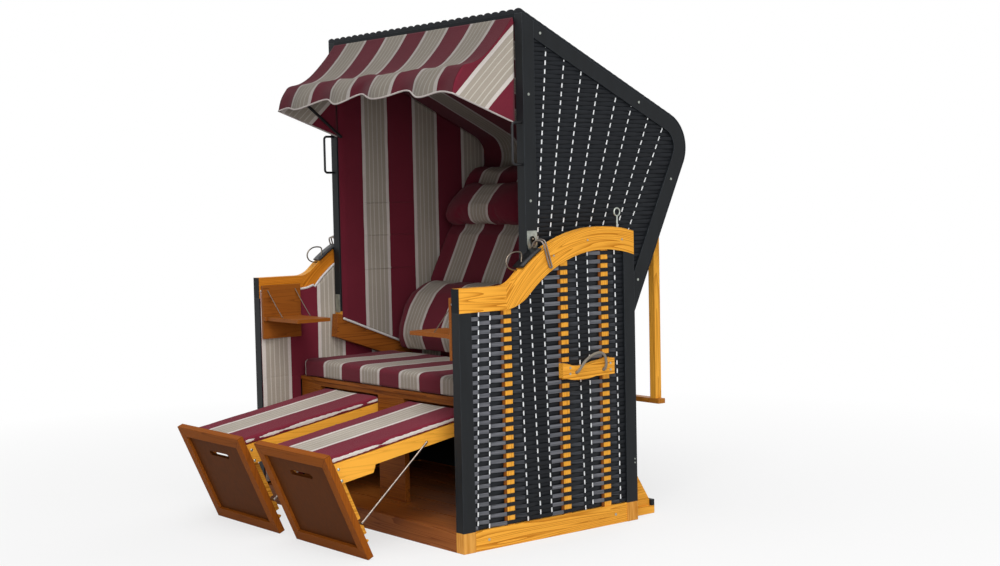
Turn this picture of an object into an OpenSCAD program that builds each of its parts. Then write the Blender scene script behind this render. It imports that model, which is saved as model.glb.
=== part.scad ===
// Two-seat hooded beach chair: a base with woven sides, and a woven hood that tilts back.
// X runs across the chair, -Y is the front, Z is up, and Z = 0 is the floor.
// Origin: on the floor under the middle of the base. Sizes are in millimetres.

/* [Base] */
// Width over the two side walls
base_w = 1160; // [1120:10:1240]
// Depth from the front posts to the rear posts
base_d = 700; // [690:5:740]
// Thickness of the side walls' posts, rails and armrests
post_t = 35; // [32:1:40]
// Depth of the corner posts, front to back
post_d = 45; // [38:1:50]
// Height of the bottom rails and sills
rail_h = 60; // [54:1:66]
// Thickness of the sills
sill_t = 30; // [24:1:34]
// Thickness of the boards that carry the weave
core_t = 10; // [8:1:11]
// Thickness of the padded linings
lining_t = 7; // [5:0.5:8]
// Height of the top of the base's back
back_h = 372; // [340:1:380]

/* [Armrests] */
// Height of the armrest's flat front stretch
arm_z = 772; // [760:2:784]
// Width of the armrest board, seen from the side
arm_w = 71; // [62:1:76]
// Radius of the bend between the flat stretch and the rise
arm_bend = 80; // [60:2:100]
// Distance from the hood's hinge to the top of the armrest's arc
arc_r = 499; // [492:1:505]

/* [Seat] */
// Height of the seat deck's underside
deck_z = 411; // [406:1:418]
// Thickness of the seat deck and the floor planks
plank_t = 12; // [10:1:14]
// Distance from the front of the base to the seat front
seat_set = 158; // [150:2:170]
// Thickness of the seat front's boards
front_t = 18; // [15:1:20]
// Distance from the seat deck's rear edge to the hood's hinge
deck_gap = 38; // [34:1:50]
// Half the width of the board between the two footrests
centre_w = 45; // [42:1:48]
// Width of the stiles beside each footrest opening
stile_w = 27; // [22:1:30]
// Clear width of each footrest opening
opening_w = 345; // [345:1:350]
// Height of the rail above the footrest openings
lintel_h = 16; // [12:1:17]
// Thickness of the seat cushion at its middle
seat_pad_t = 63; // [54:1:66]

/* [Hood] */
// Width over the hood's side frames
hood_w = 1060; // [1050:2:1064]
// Height of the hood's front top edge
hood_z = 1599; // [1560:5:1640]
// Distance of the hood's front edge behind the base's front
hood_set = 300; // [296:2:310]
// Fall of the roof towards the back, in degrees
roof_pitch = 25.9; // [23:0.1:29]
// Lean of the hood's back from upright, in degrees
back_lean = 26; // [25:0.1:27]
// Distance from the hinge back to the hood's outer back
heel = 70.5; // [68:0.5:74]
// Radius of the rounded corner between roof and back
nose_r = 122; // [90:2:140]
// Width of the hood's frame boards, shell included
frame_band = 60; // [54:1:66]
// Thickness of the hood's side frames
frame_t = 35; // [30:1:36]
// Thickness of the woven shell over roof and back
shell_t = 14; // [12:1:16]
// Depth of the cross beams under the shell
beam_t = 20; // [16:1:22]
// Distance of the hinge behind the middle of the base
hinge_y = 218; // [214:1:222]
// Height of the hinge
hinge_z = 437; // [434:1:442]
// Diameter of the hinge bolt
hinge_d = 12; // [10:0.5:14]
// Height of the lower end of the hood's front posts
foot_z = 551; // [545:1:557]
// Height of the lower rail's top edge at the front post
sill_z = 630; // [622:1:638]
// Number of ridges across the woven shell
ridge_count = 29; // [24:1:32]
// Height of one ridge
ridge_h = 6; // [4:0.5:8]

/* [Footrests] */
// Width of the footrest's front panel
leg_w = 390; // [386:1:394]
// Thickness of the front panel's frame
leg_t = 20; // [18:1:22]
// Slope of the shelf when it is pulled out, in degrees
shelf_slope = 9.35; // [9:0.05:9.6]
// Lean of the front panel when it stands on the floor, in degrees
leg_lean = 24.2; // [23.6:0.1:24.8]
// Length of the front panel above its hinge
leg_over = 68; // [60:1:74]
// Height of the shelf's side rails
shelf_h = 40; // [36:1:42]
// Thickness of the shelf's side rails and of the notched battens
shelf_t = 20; // [16:1:22]
// Thickness of the footrest's cushion
foot_pad_t = 20; // [16:1:21]
// Distance from the sliding bar to the panel's hinge
shelf_l = 518; // [510:1:526]
// Distance between two notches
notch_pitch = 50; // [40:1:54]
// Diameter of the steel bail
bail_d = 6; // [5:0.5:6.5]

/* [Awning] */
// Reach of the awning's bow from its pivot
bow_r = 249; // [240:1:260]
// Rise of the bow above level, in degrees
bow_rise = 38.5; // [36:0.5:41]
// Diameter of the bow's tube
bow_d = 10; // [8:1:11]
// Height of the bow's pivot
bow_z = 1255; // [1235:5:1275]
// Drop of the awning's front edge below the bow
valance = 92; // [80:2:110]

/* [Fittings] */
// Depth of a tray, from the side wall inwards
tray_d = 200; // [180:5:210]
// Length of a tray along the side wall
tray_l = 130; // [110:5:134]
// Thickness of a tray
tray_t = 12; // [10:1:13]
// Height of a tray's top
tray_z = 637; // [630:1:644]
// Angle from one rack tooth to the next, in degrees
tooth_step = 1.5; // [1.2:0.1:2]
// Diameter of the rope in the side handles
rope_d = 9; // [8:0.5:10]
// Diameter of the lock pins
pin_d = 6; // [5:0.5:6.5]
// Distance between the rear support's two legs
support_w = 900; // [860:10:930]
// Length of the rear support's legs
support_l = 596; // [560:2:610]

/* [Weave] */
// Pitch of the woven rows
row_pitch = 26.6; // [24:0.2:30]
// Width of the wooden slats in the side weave
slat_w = 38; // [30:1:42]

/* [Hidden] */
$fn = 48;

gap = 0.3; // clearance between pieces that move past each other
fit = 0.05; // radial clearance of pins and shafts in their bores
front = -base_d/2;
rear = base_d/2;
side = base_w/2;
inner = side - post_t;
core_x = inner + 11;
weave_x = core_x + core_t;
slat_x = weave_x + 4;
weave_t = 11;

// Chair geometry helpers: points are [y, z] in the side view
function polar(c, r, a) = [c[0] + r*cos(a), c[1] + r*sin(a)];
function meet(p, u, q, v) = // where two lines, given by point and direction, cross
    let(d = u[0]*v[1] - u[1]*v[0], t = ((q[0] - p[0])*v[1] - (q[1] - p[1])*v[0])/d) p + t*u;
function arc(c, r, a0, a1, n) = [for (i = [0:n]) polar(c, r, a0 + (a1 - a0)*i/n)];

function reversed(v) = [for (i = [len(v) - 1:-1:0]) v[i]];
module side_view(x, t) { // extrudes a side-view outline along X, from x to x + t
    translate([x, 0, 0]) rotate([90, 0, 90]) linear_extrude(t) children();
}
module both() {
    children();
    mirror([1, 0, 0]) children();
}
module box(x0, x1, y0, y1, z0, z1) {
    translate([x0, y0, z0]) cube([x1 - x0, y1 - y0, z1 - z0]);
}
module bar_x(x0, x1, y, z, d) { // a round bar along X
    translate([x0, y, z]) rotate([0, 90, 0]) cylinder(h = x1 - x0, d = d);
}
module rod(points, d) { // a bent round rod: straight runs with ball corners
    for (i = [0:len(points) - 2]) {
        v = points[i + 1] - points[i];
        l = norm(v);
        translate(points[i]) rotate([0, acos(v[2]/l), atan2(v[1], v[0])]) cylinder(h = l, d = d, $fn = 24);
    }
    for (i = [1:len(points) - 2]) translate(points[i]) sphere(d = d*1.06, $fn = 24);
}
// A loft through closed rings of points, closed at both ends by fans
module loft(rings) {
    m = len(rings[0]);
    n = len(rings);
    mid0 = [for (k = [0:2]) [for (p = rings[0]) p[k]] * [for (p = rings[0]) 1]/m];
    mid1 = [for (k = [0:2]) [for (p = rings[n - 1]) p[k]] * [for (p = rings[0]) 1]/m];
    polyhedron([for (r = rings) each r, mid0, mid1], [
        for (i = [0:n - 2], j = [0:m - 1]) each let(a = i*m + j, b = i*m + (j + 1)%m)
            [[a, a + m, b], [b, a + m, b + m]],
        for (j = [0:m - 1]) [n*m, j, (j + 1)%m],
        for (j = [0:m - 1]) [n*m + 1, (n - 1)*m + (j + 1)%m, (n - 1)*m + j]]);
}
// A sheet between two grids of points: outer and inner, each a list of columns
module sheet(outer, inner) {
    n = len(outer);
    r = len(outer[0]);
    m = 2*r;
    polyhedron([for (i = [0:n - 1]) each concat(outer[i], reversed(inner[i]))], [
        for (i = [0:n - 2], j = [0:m - 1]) each let(a = i*m + j, b = i*m + (j + 1)%m)
            [[a, a + m, b], [b, a + m, b + m]],
        for (j = [0:r - 2]) each [[j, j + 1, m - 2 - j], [j, m - 2 - j, m - 1 - j]],
        for (j = [0:r - 2]) each let(e = (n - 1)*m)
            [[e + j, e + m - 2 - j, e + j + 1], [e + j, e + m - 1 - j, e + m - 2 - j]]]);
}
// A cushion whose side view is an outline, swept along X and drawn in at both ends
function section(outline, x, s, c) = [for (p = outline) [x, c[0] + (p[0] - c[0])*s, c[1] + (p[1] - c[1])*s]];
function centre(outline) = [for (k = [0:1]) [for (p = outline) p[k]] * [for (p = outline) 1]/len(outline)];
function rounded(p, q, n, bow) = // one side of a cushion's outline: bows out by bow
    let(d = q - p, u = [d[1], -d[0]]/norm(d)) [for (i = [0:n - 1]) p + d*i/n + u*bow*sin(180*i/n)];
module cushion(x0, x1, outline, soft) {
    w = x1 - x0;
    c = centre(outline);
    ends = [[0, 0.62], [0.12, 0.84], [0.38, 0.95], [1, 0.985]];
    loft([
        for (e = ends) section(outline, x0 + e[0]*soft, e[1], c),
        for (f = [0.25, 0.5, 0.75]) section(outline, x0 + w*f, 1, c),
        for (i = [3:-1:0]) section(outline, x1 - ends[i][0]*soft, ends[i][1], c)]);
}

// Hood geometry: lines inset by t from the hood's outer outline
hood_x = hood_w/2;
hood_y = front + hood_set;
hinge = [hinge_y, hinge_z];
roof_u = [cos(roof_pitch), -sin(roof_pitch)];
back_u = [sin(back_lean), cos(back_lean)];
function roof_p(t) = [hood_y, hood_z - t/cos(roof_pitch)];
function back_p(t) = [hinge_y + (heel - t)/cos(back_lean), hinge_z];
function roof_z(y, t) = roof_p(t)[1] - (y - hood_y)*tan(roof_pitch);
function back_y(z, t) = back_p(t)[0] + (z - hinge_z)*tan(back_lean);
corner = meet(roof_p(nose_r), roof_u, back_p(nose_r), back_u);
nose_a0 = 90 - roof_pitch;
nose_a1 = -back_lean;
nose_steps = 8;
nose_step = (nose_a0 - nose_a1)/nose_steps;
// Outline of roof, nose and back at inset t, from the front edge to a height z at the back
function shell_line(t, y0, z1) = [[y0, roof_z(y0, t)],
    each arc(corner, nose_r - t, nose_a0, nose_a1, nose_steps), [back_y(z1, t), z1]];
module shell_band(t0, t1, y0, z1) {
    polygon(concat(shell_line(t0, y0, z1), reversed(shell_line(t1, y0, z1))));
}

// Armrest geometry: a band that runs flat, bends, and follows an arc round the hood's hinge
bend = [hinge_y - sqrt(pow(arc_r + arm_bend, 2) - pow(arm_z + arm_bend - hinge_z, 2)), arm_z + arm_bend];
bend_a = atan2(bend[1] - hinge_z, bend[0] - hinge_y);
function end_a(r) = acos((rear - hinge_y)/r);
function arm_line(t) = [[front, arm_z - t],
    each arc(bend, arm_bend + t, 270, 180 + bend_a, 8),
    each arc(hinge, arc_r - t, bend_a, end_a(arc_r - t), 16)];
module arm_band(t0, t1) {
    polygon(concat(arm_line(t0), reversed(arm_line(t1))));
}
module under_arm(y0, y1, z0, t) { // the area below the armrest, from z0 up to inset t
    intersection() {
        polygon(concat(arm_line(t), [[rear, z0], [front, z0]]));
        translate([y0, z0]) square([y1 - y0, 2000]);
    }
}
module ring_sector(c, r0, r1, a0, a1, n) {
    polygon(concat(arc(c, r0, a0, a1, n), reversed(arc(c, r1, a0, a1, n))));
}

// Base
post_y = base_d/2 - post_d;
module corner_posts() color("#22262b") both() {
    side_view(inner, post_t) under_arm(front, -post_y, 0, arm_w);
    side_view(inner, post_t) under_arm(post_y, rear, 0, arm_w);
}
bearer_w = 40;
bearer_h = rail_h - 14;
module base_rails() color("#e0a23c") {
    both() {
        box(inner, side - 2, -post_y, post_y, 0, rail_h);
        box(inner - 30, inner, -post_y, post_y, bearer_h - 20, bearer_h);
    }
    box(-inner, inner, front, front + sill_t, 0, rail_h);
    box(-inner, inner, rear - sill_t, rear, 0, rail_h);
    box(-inner, inner, -bearer_w/2, bearer_w/2, 0, bearer_h);
}
pin_y = 286;
pin_x = side - 7.5;
pin_z = hinge_z + sqrt(arc_r*arc_r - pow(pin_y - hinge_y, 2));
pin_bore = 52;
module armrests() color("#e8a23a") both() difference() {
    side_view(inner, post_t) arm_band(0, arm_w);
    translate([pin_x, pin_y, pin_z - pin_bore]) cylinder(h = 100, d = pin_d + 2*fit);
}
module side_panels() color("#2a2c30") both() side_view(core_x, core_t)
    under_arm(-post_y, post_y, rail_h, arm_w);
slats = [-170, 55, 222];
module slat_boxes(grow) {
    for (y = slats) box(slat_x, slat_x + 4, y - slat_w/2 - grow, y + slat_w/2 + grow, 0, 1000);
}
weave_rows = floor((arm_z + 165 - arm_w - rail_h)/row_pitch);
module side_weave() color("#2b2f35") both() {
    side_view(weave_x, slat_x - weave_x) under_arm(-post_y, post_y, rail_h, arm_w);
    difference() {
        intersection() {
            side_view(slat_x, weave_t) under_arm(-post_y, post_y, rail_h, arm_w);
            for (i = [0:weave_rows])
                box(slat_x, slat_x + weave_t - 4, -post_y, post_y, rail_h + i*row_pitch,
                    rail_h + (i + 0.5)*row_pitch);
        }
        slat_boxes(0.2);
    }
}
module side_slats() color("#c9822b") both() intersection() {
    slat_boxes(0);
    side_view(slat_x, 4) under_arm(-post_y, post_y, rail_h, arm_w);
}
lining_x = inner - lining_t;
lining_top = 46;
module side_linings() color("#8a2c3c") both() difference() {
    side_view(lining_x, lining_t) under_arm(front + 4, post_y, deck_z, lining_top);
    bar_x(lining_x - 1, inner + 1, hinge_y, hinge_z, hinge_d + 1);
}
rack_a0 = 86;
rack_a1 = 122;
teeth = floor((rack_a1 - rack_a0)/tooth_step);
rack_h = 20;
tooth_h = 7;
module rack_strips() color("#26282b") both() side_view(lining_x - 1, lining_t + 1) difference() {
    ring_sector(hinge, arc_r - rack_h, arc_r, rack_a0, rack_a1, 24);
    for (i = [0:teeth - 1]) {
        a = rack_a0 + (i + 0.3)*tooth_step;
        polygon([polar(hinge, arc_r - tooth_h, a), polar(hinge, arc_r + 1, a),
            polar(hinge, arc_r + 1, a + tooth_step*0.55), polar(hinge, arc_r - tooth_h, a + tooth_step*0.3)]);
    }
}
seat_y = front + seat_set;
floor_z = bearer_h + plank_t;
open_x0 = centre_w + stile_w;
open_x1 = open_x0 + opening_w;
frame_x1 = open_x1 + stile_w;
lintel_z = deck_z - lintel_h;
module seat_board(x0, x1, z0) {
    box(x0, x1, seat_y, seat_y + front_t, z0, deck_z);
}
module seat_front() color("#8b4a1e") {
    seat_board(-centre_w, centre_w, floor_z);
    both() {
        seat_board(centre_w + gap, open_x0 - gap, floor_z);
        seat_board(open_x0, open_x1, lintel_z);
        seat_board(open_x1 + gap, frame_x1, floor_z);
        seat_board(frame_x1 + gap, lining_x - gap, floor_z);
    }
}
deck_rear = hinge_y - deck_gap;
hinge_boss = 60;
deck_x = hood_x - frame_t - 10;
module seat_deck() color("#9a5524") {
    box(-lining_x + gap, lining_x - gap, seat_y - 4, deck_rear - 40, deck_z, deck_z + plank_t);
    box(-deck_x, deck_x, deck_rear - 40, deck_rear, deck_z, deck_z + plank_t);
    both() box(inner - 25, core_x, seat_y + 40, deck_rear - 60, deck_z - 25, deck_z - gap);
}
seat_rear = hinge_y - 56;
module seat_cushion() color("#b5aa9e") {
    z0 = deck_z + plank_t + gap;
    z1 = z0 + seat_pad_t - 10;
    line = concat(
        rounded([seat_y - 7, z0 + 6], [seat_y + 4, z0], 2, 1),
        rounded([seat_y + 4, z0], [seat_rear - 4, z0], 6, 0),
        rounded([seat_rear - 4, z0], [seat_rear, z1 - 20], 3, 2),
        rounded([seat_rear, z1 - 20], [seat_rear - 22, z1], 3, 4),
        rounded([seat_rear - 22, z1], [seat_y + 14, z1 - 2], 8, 10),
        rounded([seat_y + 14, z1 - 2], [seat_y - 7, z1 - 16], 3, 4),
        rounded([seat_y - 7, z1 - 16], [seat_y - 7, z0 + 6], 3, 2));
    cushion(-hood_x + 14, hood_x - 14, line, 46);
}
plank_w = 100;
plank_gap = 5;
plank_count = floor((base_d - 2*sill_t)/(plank_w + plank_gap));
module floor_boards() color("#8b4a1e")
    for (i = [0:plank_count - 1]) translate([0, front + sill_t + plank_gap + i*(plank_w + plank_gap), 0])
        box(-inner + gap, inner - gap, 0, plank_w, bearer_h, floor_z);
panel_y = rear - sill_t + 2;
back_rows = floor((back_h - rail_h - 30)/row_pitch);
module back_panel() color("#2a2c30") {
    box(-inner, inner, panel_y, panel_y + core_t, rail_h, back_h);
    box(-inner, inner, panel_y + core_t, rear - 4, back_h - 30, back_h);
    for (i = [0:back_rows - 1])
        box(-inner, inner, panel_y + core_t, rear - 9, rail_h + i*row_pitch, rail_h + (i + 0.5)*row_pitch);
}
bar_y = seat_y + front_t + 24;
bar_z = 354;
bar_d = 10;
runner_w = 20;
web = 4;
module runner(x0, s) { // a channel along Y that opens towards s
    y0 = seat_y + front_t;
    x1 = x0 + s*runner_w;
    box(min(x0, x0 + s*web), max(x0, x0 + s*web), y0, panel_y, bar_z - 22, bar_z + 22);
    box(min(x0, x1), max(x0, x1), y0, panel_y, bar_z - 22, bar_z - bar_d/2 - gap);
    box(min(x0, x1), max(x0, x1), y0, panel_y, bar_z + bar_d/2 + gap, bar_z + 22);
}
module footrest_runners() color("#a5652b") both() {
    runner(open_x0 - 4 - runner_w, 1);
    runner(open_x1 + 4 + runner_w, -1);
}
module hinge_bolts() color("#b9bcc0") both() {
    bar_x(hood_x - frame_t - 1, core_x, hinge_y, hinge_z, hinge_d);
    bar_x(hood_x - frame_t - 6.3, hood_x - frame_t - gap, hinge_y, hinge_z, 2*hinge_d);
}
plate_x = lining_x - 12;
tray_y0 = front + 12;
tray_y1 = tray_y0 + tray_l;
tray_hinge = [plate_x - 6.5, tray_z - tray_t/2];
tray_pin = 5;
module tray_plates() color("#a5652b") both() {
    box(plate_x, lining_x, front + 4, tray_y1 + 12, tray_z - 75, arm_z - 27);
    for (y = [tray_y0 - gap - 8, tray_y1 + gap])
        box(tray_hinge[0] - 5.5, plate_x, y, y + 8, tray_hinge[1] - 6, tray_hinge[1] + 6);
    translate([tray_hinge[0], tray_y0 - 1, tray_hinge[1]]) rotate([-90, 0, 0])
        cylinder(h = tray_l + 2, d = tray_pin);
}
handle_x = slat_x + weave_t - 4;
handle_t = 20;
rope_y0 = 85;
rope_y1 = 197;
rope_z = 495;
module handle_boards() color("#c9822b") both() difference() {
    side_view(handle_x, handle_t) polygon([[30, 481], [48, 478], [76, 472], [106, 471], [136, 472], [164, 477],
        [243, 478], [243, 527], [210, 526], [166, 522], [136, 515], [106, 513], [76, 515], [48, 524], [30, 527]]);
    for (y = [rope_y0, rope_y1]) bar_x(handle_x - 1, handle_x + handle_t + 1, y, rope_z, rope_d + 3);
}
// A round cord swept along hand-chosen points, smoothed by a curve through them
function spline(p, i, t) = let(n = len(p) - 1,
    a = p[max(i - 1, 0)], b = p[i], c = p[i + 1], d = p[min(i + 2, n)])
    0.5*((2*b) + (c - a)*t + (2*a - 5*b + 4*c - d)*t*t + (3*b - a - 3*c + d)*t*t*t);
function route(p, k) = [for (i = [0:len(p) - 2], j = [0:k - 1]) spline(p, i, j/k), p[len(p) - 1]];
function unit(v) = v/norm(v);
module tube(points, d, sides, side_dir) {
    n = len(points);
    loft([for (i = [0:n - 1])
        let(t = unit(points[min(i + 1, n - 1)] - points[max(i - 1, 0)]),
            u = unit(cross(t, side_dir)), v = cross(t, u))
        [for (j = [0:sides - 1]) points[i] + d/2*(cos(360*j/sides)*u + sin(360*j/sides)*v)]]);
}
rope_route = [[590, 85, 495], [602, 85, 497], [610, 93, 512], [611, 112, 531], [611, 140, 545], [611, 168, 550],
    [611, 188, 540], [610, 196, 516], [602, 197, 497], [590, 197, 495]];
module handle_ropes() color("#1d1f22") both() tube(route(rope_route, 2), rope_d, 8, [0.2, 0.1, 1]);
foot_y = 460;
module rear_feet() color("#c9822b") both() {
    box(inner - 40, inner - 2, rear, foot_y, 0, 25);
    side_view(inner - 31, 20) polygon([[rear, 25], [rear, 135], [rear + 40, 135], [foot_y - 14, 45], [foot_y - 14, 25]]);
}
module foot_pads() color("#1d1f22") both() box(inner - 40, inner - 2, foot_y - 13, foot_y, 25, 45);
screw_d = 8;
module base_screws() color("#b9bcc0") both() {
    for (p = [[-255, 30], [255, 30]]) bar_x(side - 2, side - 0.5, p[0], p[1], screw_d);
    for (p = [[59, 511], [58, 493], [225, 512], [225, 492]])
        bar_x(handle_x + handle_t, handle_x + handle_t + 1.5, p[0], p[1], screw_d - 1);
    for (z = [184, 196]) bar_x(side, side + 1.5, rear - 10, z, 5);
    for (a = [80, 98, 116]) let(p = polar(hinge, arc_r - arm_w/2, a)) bar_x(side, side + 1.5, p[0], p[1], screw_d - 2);
}

// Hood
hood_in = hood_x - frame_t;
post_rear = hood_y + post_d;
bow_y = hood_y + 10;
bow_pin = 8;
module hood_posts() color("#22262b") both() difference() {
    side_view(hood_in, frame_t) polygon([[hood_y, foot_z], [post_rear, foot_z - 18],
        [post_rear, roof_z(post_rear, shell_t)], [hood_y, roof_z(hood_y, shell_t)]]);
    side_view(hood_in - 1, frame_t + 2) rail_outline();
    bar_x(hood_in - 1, hood_in + 15, bow_y, bow_z, bow_pin + 2*fit);
    bar_x(hood_x - 15, hood_x + 1, latch_pivot[0], latch_pivot[1], latch_pin + 2*fit);
}
rail_fall = 21.7; // fall of the lower rail towards the hinge, in degrees
rail_u = [cos(rail_fall), -sin(rail_fall)];
rail_top = [hood_y, sill_z];
rail_end_top = meet(rail_top, rail_u, back_p(shell_t), back_u);
module rail_outline() {
    polygon([rail_top, rail_end_top, back_p(shell_t), [hinge_y, hinge_z], [hinge_y - 100, hinge_z + 48],
        [hood_y - 20, foot_z], [hood_y - 13, sill_z]]);
    translate([hinge_y, hinge_z]) circle(d = hinge_boss);
}
module lower_rails() color("#d9972f") both() difference() {
    side_view(hood_in, frame_t) rail_outline();
    bar_x(hood_in - 1, hood_x + 1, hinge_y, hinge_z, hinge_d + 2*fit);
}
module below_rail() { // everything below the lower rail's top edge, in the side view
    reach = [100, 700];
    polygon([[hood_y - reach[0], 0], [hood_y - reach[0], sill_z + reach[0]*tan(rail_fall)],
        [hood_y + reach[1], sill_z - reach[1]*tan(rail_fall)], [hood_y + reach[1], 0]]);
}
module hood_frames() color("#22262b") both() side_view(hood_in, frame_t) difference() {
    shell_band(shell_t, frame_band, post_rear, hinge_z - 20);
    below_rail();
}
hood_core = hood_x - 22;
module hood_area() difference() {
    polygon(concat(shell_line(frame_band, post_rear, rail_end_top[1]), [[post_rear, hinge_z]]));
    below_rail();
}
module hood_panels() color("#2a2c30") both() side_view(hood_core, core_t) hood_area();
hood_rows = floor((hood_z - sill_z + 80)/row_pitch);
module hood_weave() color("#2b2f35") both() {
    side_view(hood_core + core_t, 3) hood_area();
    intersection() {
        side_view(hood_core + core_t + 3, 5) hood_area();
        for (i = [0:hood_rows])
            box(hood_core, hood_x, hood_y, 800, sill_z - 90 + i*row_pitch, sill_z - 90 + (i + 0.5)*row_pitch);
    }
}
// Inset and place across of the woven shell's scalloped outer face
ridge_p = hood_w/ridge_count;
scallops = [[-hood_x, ridge_h], each [for (i = [0:ridge_count - 1]) each [[-hood_x + (i + 0.25)*ridge_p, 0],
    [-hood_x + (i + 0.75)*ridge_p, 0], [-hood_x + (i + 1)*ridge_p, ridge_h]]]];
shell_end = hinge_z + 4;
module roof_shell() color("#26292e") {
    n = nose_steps + 2;
    sheet([for (i = [0:n]) [for (c = scallops) let(p = shell_line(c[1], hood_y, shell_end)[i]) [c[0], p[0], p[1]]]],
        [for (i = [0:n]) [for (c = scallops) let(p = shell_line(shell_t - gap, hood_y, shell_end)[i]) [c[0], p[0], p[1]]]]);
}
beam_end = shell_t + beam_t;
module hood_beams() color("#8b4a1e") {
    side_view(-hood_in, 2*hood_in) polygon([[hood_y, roof_z(hood_y, shell_t)], [hood_y + 32, roof_z(hood_y + 32, shell_t)],
        [hood_y + 32, roof_z(hood_y + 32, beam_end)], [hood_y, roof_z(hood_y, beam_end)]]);
    side_view(-hood_in, 2*hood_in) ring_sector(corner, nose_r - beam_end, nose_r - shell_t, nose_a1 + 3*nose_step,
        nose_a1 + 5*nose_step, 2);
    for (z = [hinge_z + 40, 920]) side_view(-hood_in, 2*hood_in) polygon([
        [back_y(z, shell_t), z], [back_y(z + 40, shell_t), z + 40], [back_y(z + 40, beam_end), z + 40], [back_y(z, beam_end), z]]);
}
wall_x = hood_in - lining_t;
module hood_linings() color("#b5aa9e") {
    both() side_view(wall_x, lining_t - gap) difference() {
        polygon(concat(shell_line(beam_end + gap, hood_y + 24, hinge_z + 40), [[hinge_y + 40, hinge_z + 70],
            [hood_y + 24, sill_z - 12]]));
        translate([hinge_y, hinge_z]) circle(d = hinge_boss + 6);
    }
    side_view(-wall_x + gap, 2*wall_x - 2*gap) shell_band(beam_end + gap, beam_end + lining_t - 1, hood_y + 2, hinge_z + 24);
}
pad_t0 = beam_end + lining_t - 1 + gap;
pad_t1 = pad_t0 + 54;
module back_cushion() color("#b5aa9e") {
    z0 = 452;
    z1 = 1150;
    line = concat(
        rounded([back_y(z0, pad_t1) + 6, z0], [back_y(z0, pad_t0), z0 + 6], 3, 3),
        rounded([back_y(z0 + 6, pad_t0), z0 + 6], [back_y(z1, pad_t0), z1], 8, 0),
        rounded([back_y(z1, pad_t0), z1], [back_y(z1, pad_t1) + 14, z1 + 2], 4, 12),
        rounded([back_y(z1, pad_t1) + 14, z1 + 2], [back_y(z1 - 30, pad_t1), z1 - 30], 3, 3),
        rounded([back_y(z1 - 30, pad_t1), z1 - 30], [back_y(z0, pad_t1) + 6, z0], 10, 3));
    cushion(-wall_x + 4, wall_x - 4, line, 40);
}
function back_off(z, n) = [back_y(z, pad_t1 + 3.6 + n), z]; // a point n in front of the back cushion
module lumbar_cushion() color("#8a2c3c") {
    line = concat(
        rounded([150, 495], [206, 492], 3, 1),
        [back_off(497, 0), back_off(560, 0), back_off(620, 0), back_off(680, 0), back_off(728, 0)],
        [back_off(746, 8), back_off(744, 26)],
        [[268, 731], [216, 695], [179, 645], [149, 577], [139, 534]]);
    cushion(-wall_x + 26, wall_x - 26, line, 60);
}
pillow_w = 430;
module head_pillows() color("#b5aa9e") both() {
    line = [back_off(935, 0), back_off(980, 0), back_off(1030, 0), back_off(1080, 0), back_off(1092, 8),
        back_off(1088, 34), back_off(1066, 58), back_off(1036, 74), back_off(1000, 82), back_off(965, 78),
        back_off(938, 58), back_off(924, 30), back_off(923, 8)];
    cushion(12, 12 + pillow_w, line, 60);
}
grab_z0 = 1130;
grab_z1 = 1256;
grab_d = 8;
module grab_handles() color("#1b1d20") both() {
    x = hood_x - 12;
    y = hood_y - 36;
    r = 10;
    for (e = [[grab_z0, 270, 1], [grab_z1, 180, -1]]) {
        s = e[2];
        translate([x, y + r, e[0]]) rotate([-90, 0, 0]) cylinder(h = hood_y - y - r, d = grab_d);
        translate([x, y + r, e[0] + s*r]) rotate([0, 90, 0]) rotate(e[1])
            rotate_extrude(angle = 90) translate([r, 0]) circle(d = grab_d, $fn = 24);
    }
    translate([x, y, grab_z0 + r]) cylinder(h = grab_z1 - grab_z0 - 2*r, d = grab_d);
}
plate_t = 2;
latch_pivot = [hood_y + 22, 905];
latch_pin = 6;
module post_plates() color("#a9adb2") both() {
    difference() {
        side_view(hood_x, plate_t) polygon([[hood_y + 3, 930], [hood_y + 42, 930], [hood_y + 42, 890],
            [hood_y + 34, 853], [hood_y + 16, 853], [hood_y + 3, 890]]);
        bar_x(hood_x - 1, hood_x + 3, latch_pivot[0], latch_pivot[1], latch_pin + 2*fit);
    }
    box(hood_in + 4, hood_x - 4, hood_y - 1.5, hood_y, sill_z + 6, sill_z + 70);
}
module hood_screws() color("#8f9398") both() {
    for (p = [[hood_y + 20, 690], [hood_y + 20, 1020], [hood_y + 20, 1340], [hood_y + 70, roof_z(hood_y + 70, 36)],
        [430, roof_z(430, 36)], [back_y(1080, 36), 1080], [back_y(760, 36), 760], [100, 530]])
        bar_x(hood_x, hood_x + 1.5, p[0], p[1], screw_d);
}
support_z = hinge_z + 503;
support_y = back_y(support_z, 0) + 24;
support_pin = 8;
support_x = support_w/2;
leg_sq = 26;
module support_brackets() color("#a9adb2") both() {
    difference() {
        for (s = [-1, 1]) side_view(support_x + s*(leg_sq/2 + gap + 2) - 2, 4) polygon([
            [back_y(support_z - 26, -3), support_z - 26], [back_y(support_z + 26, -3), support_z + 26],
            [support_y + 8, support_z + 12], [support_y + 12, support_z], [support_y + 8, support_z - 12]]);
        bar_x(support_x - 50, support_x + 50, support_y, support_z, support_pin + 2*fit);
    }
    side_view(support_x - 30, 60) polygon([[back_y(support_z - 30, -gap), support_z - 30],
        [back_y(support_z + 30, -gap), support_z + 30], [back_y(support_z + 30, -3), support_z + 30],
        [back_y(support_z - 30, -3), support_z - 30]]);
}

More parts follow.
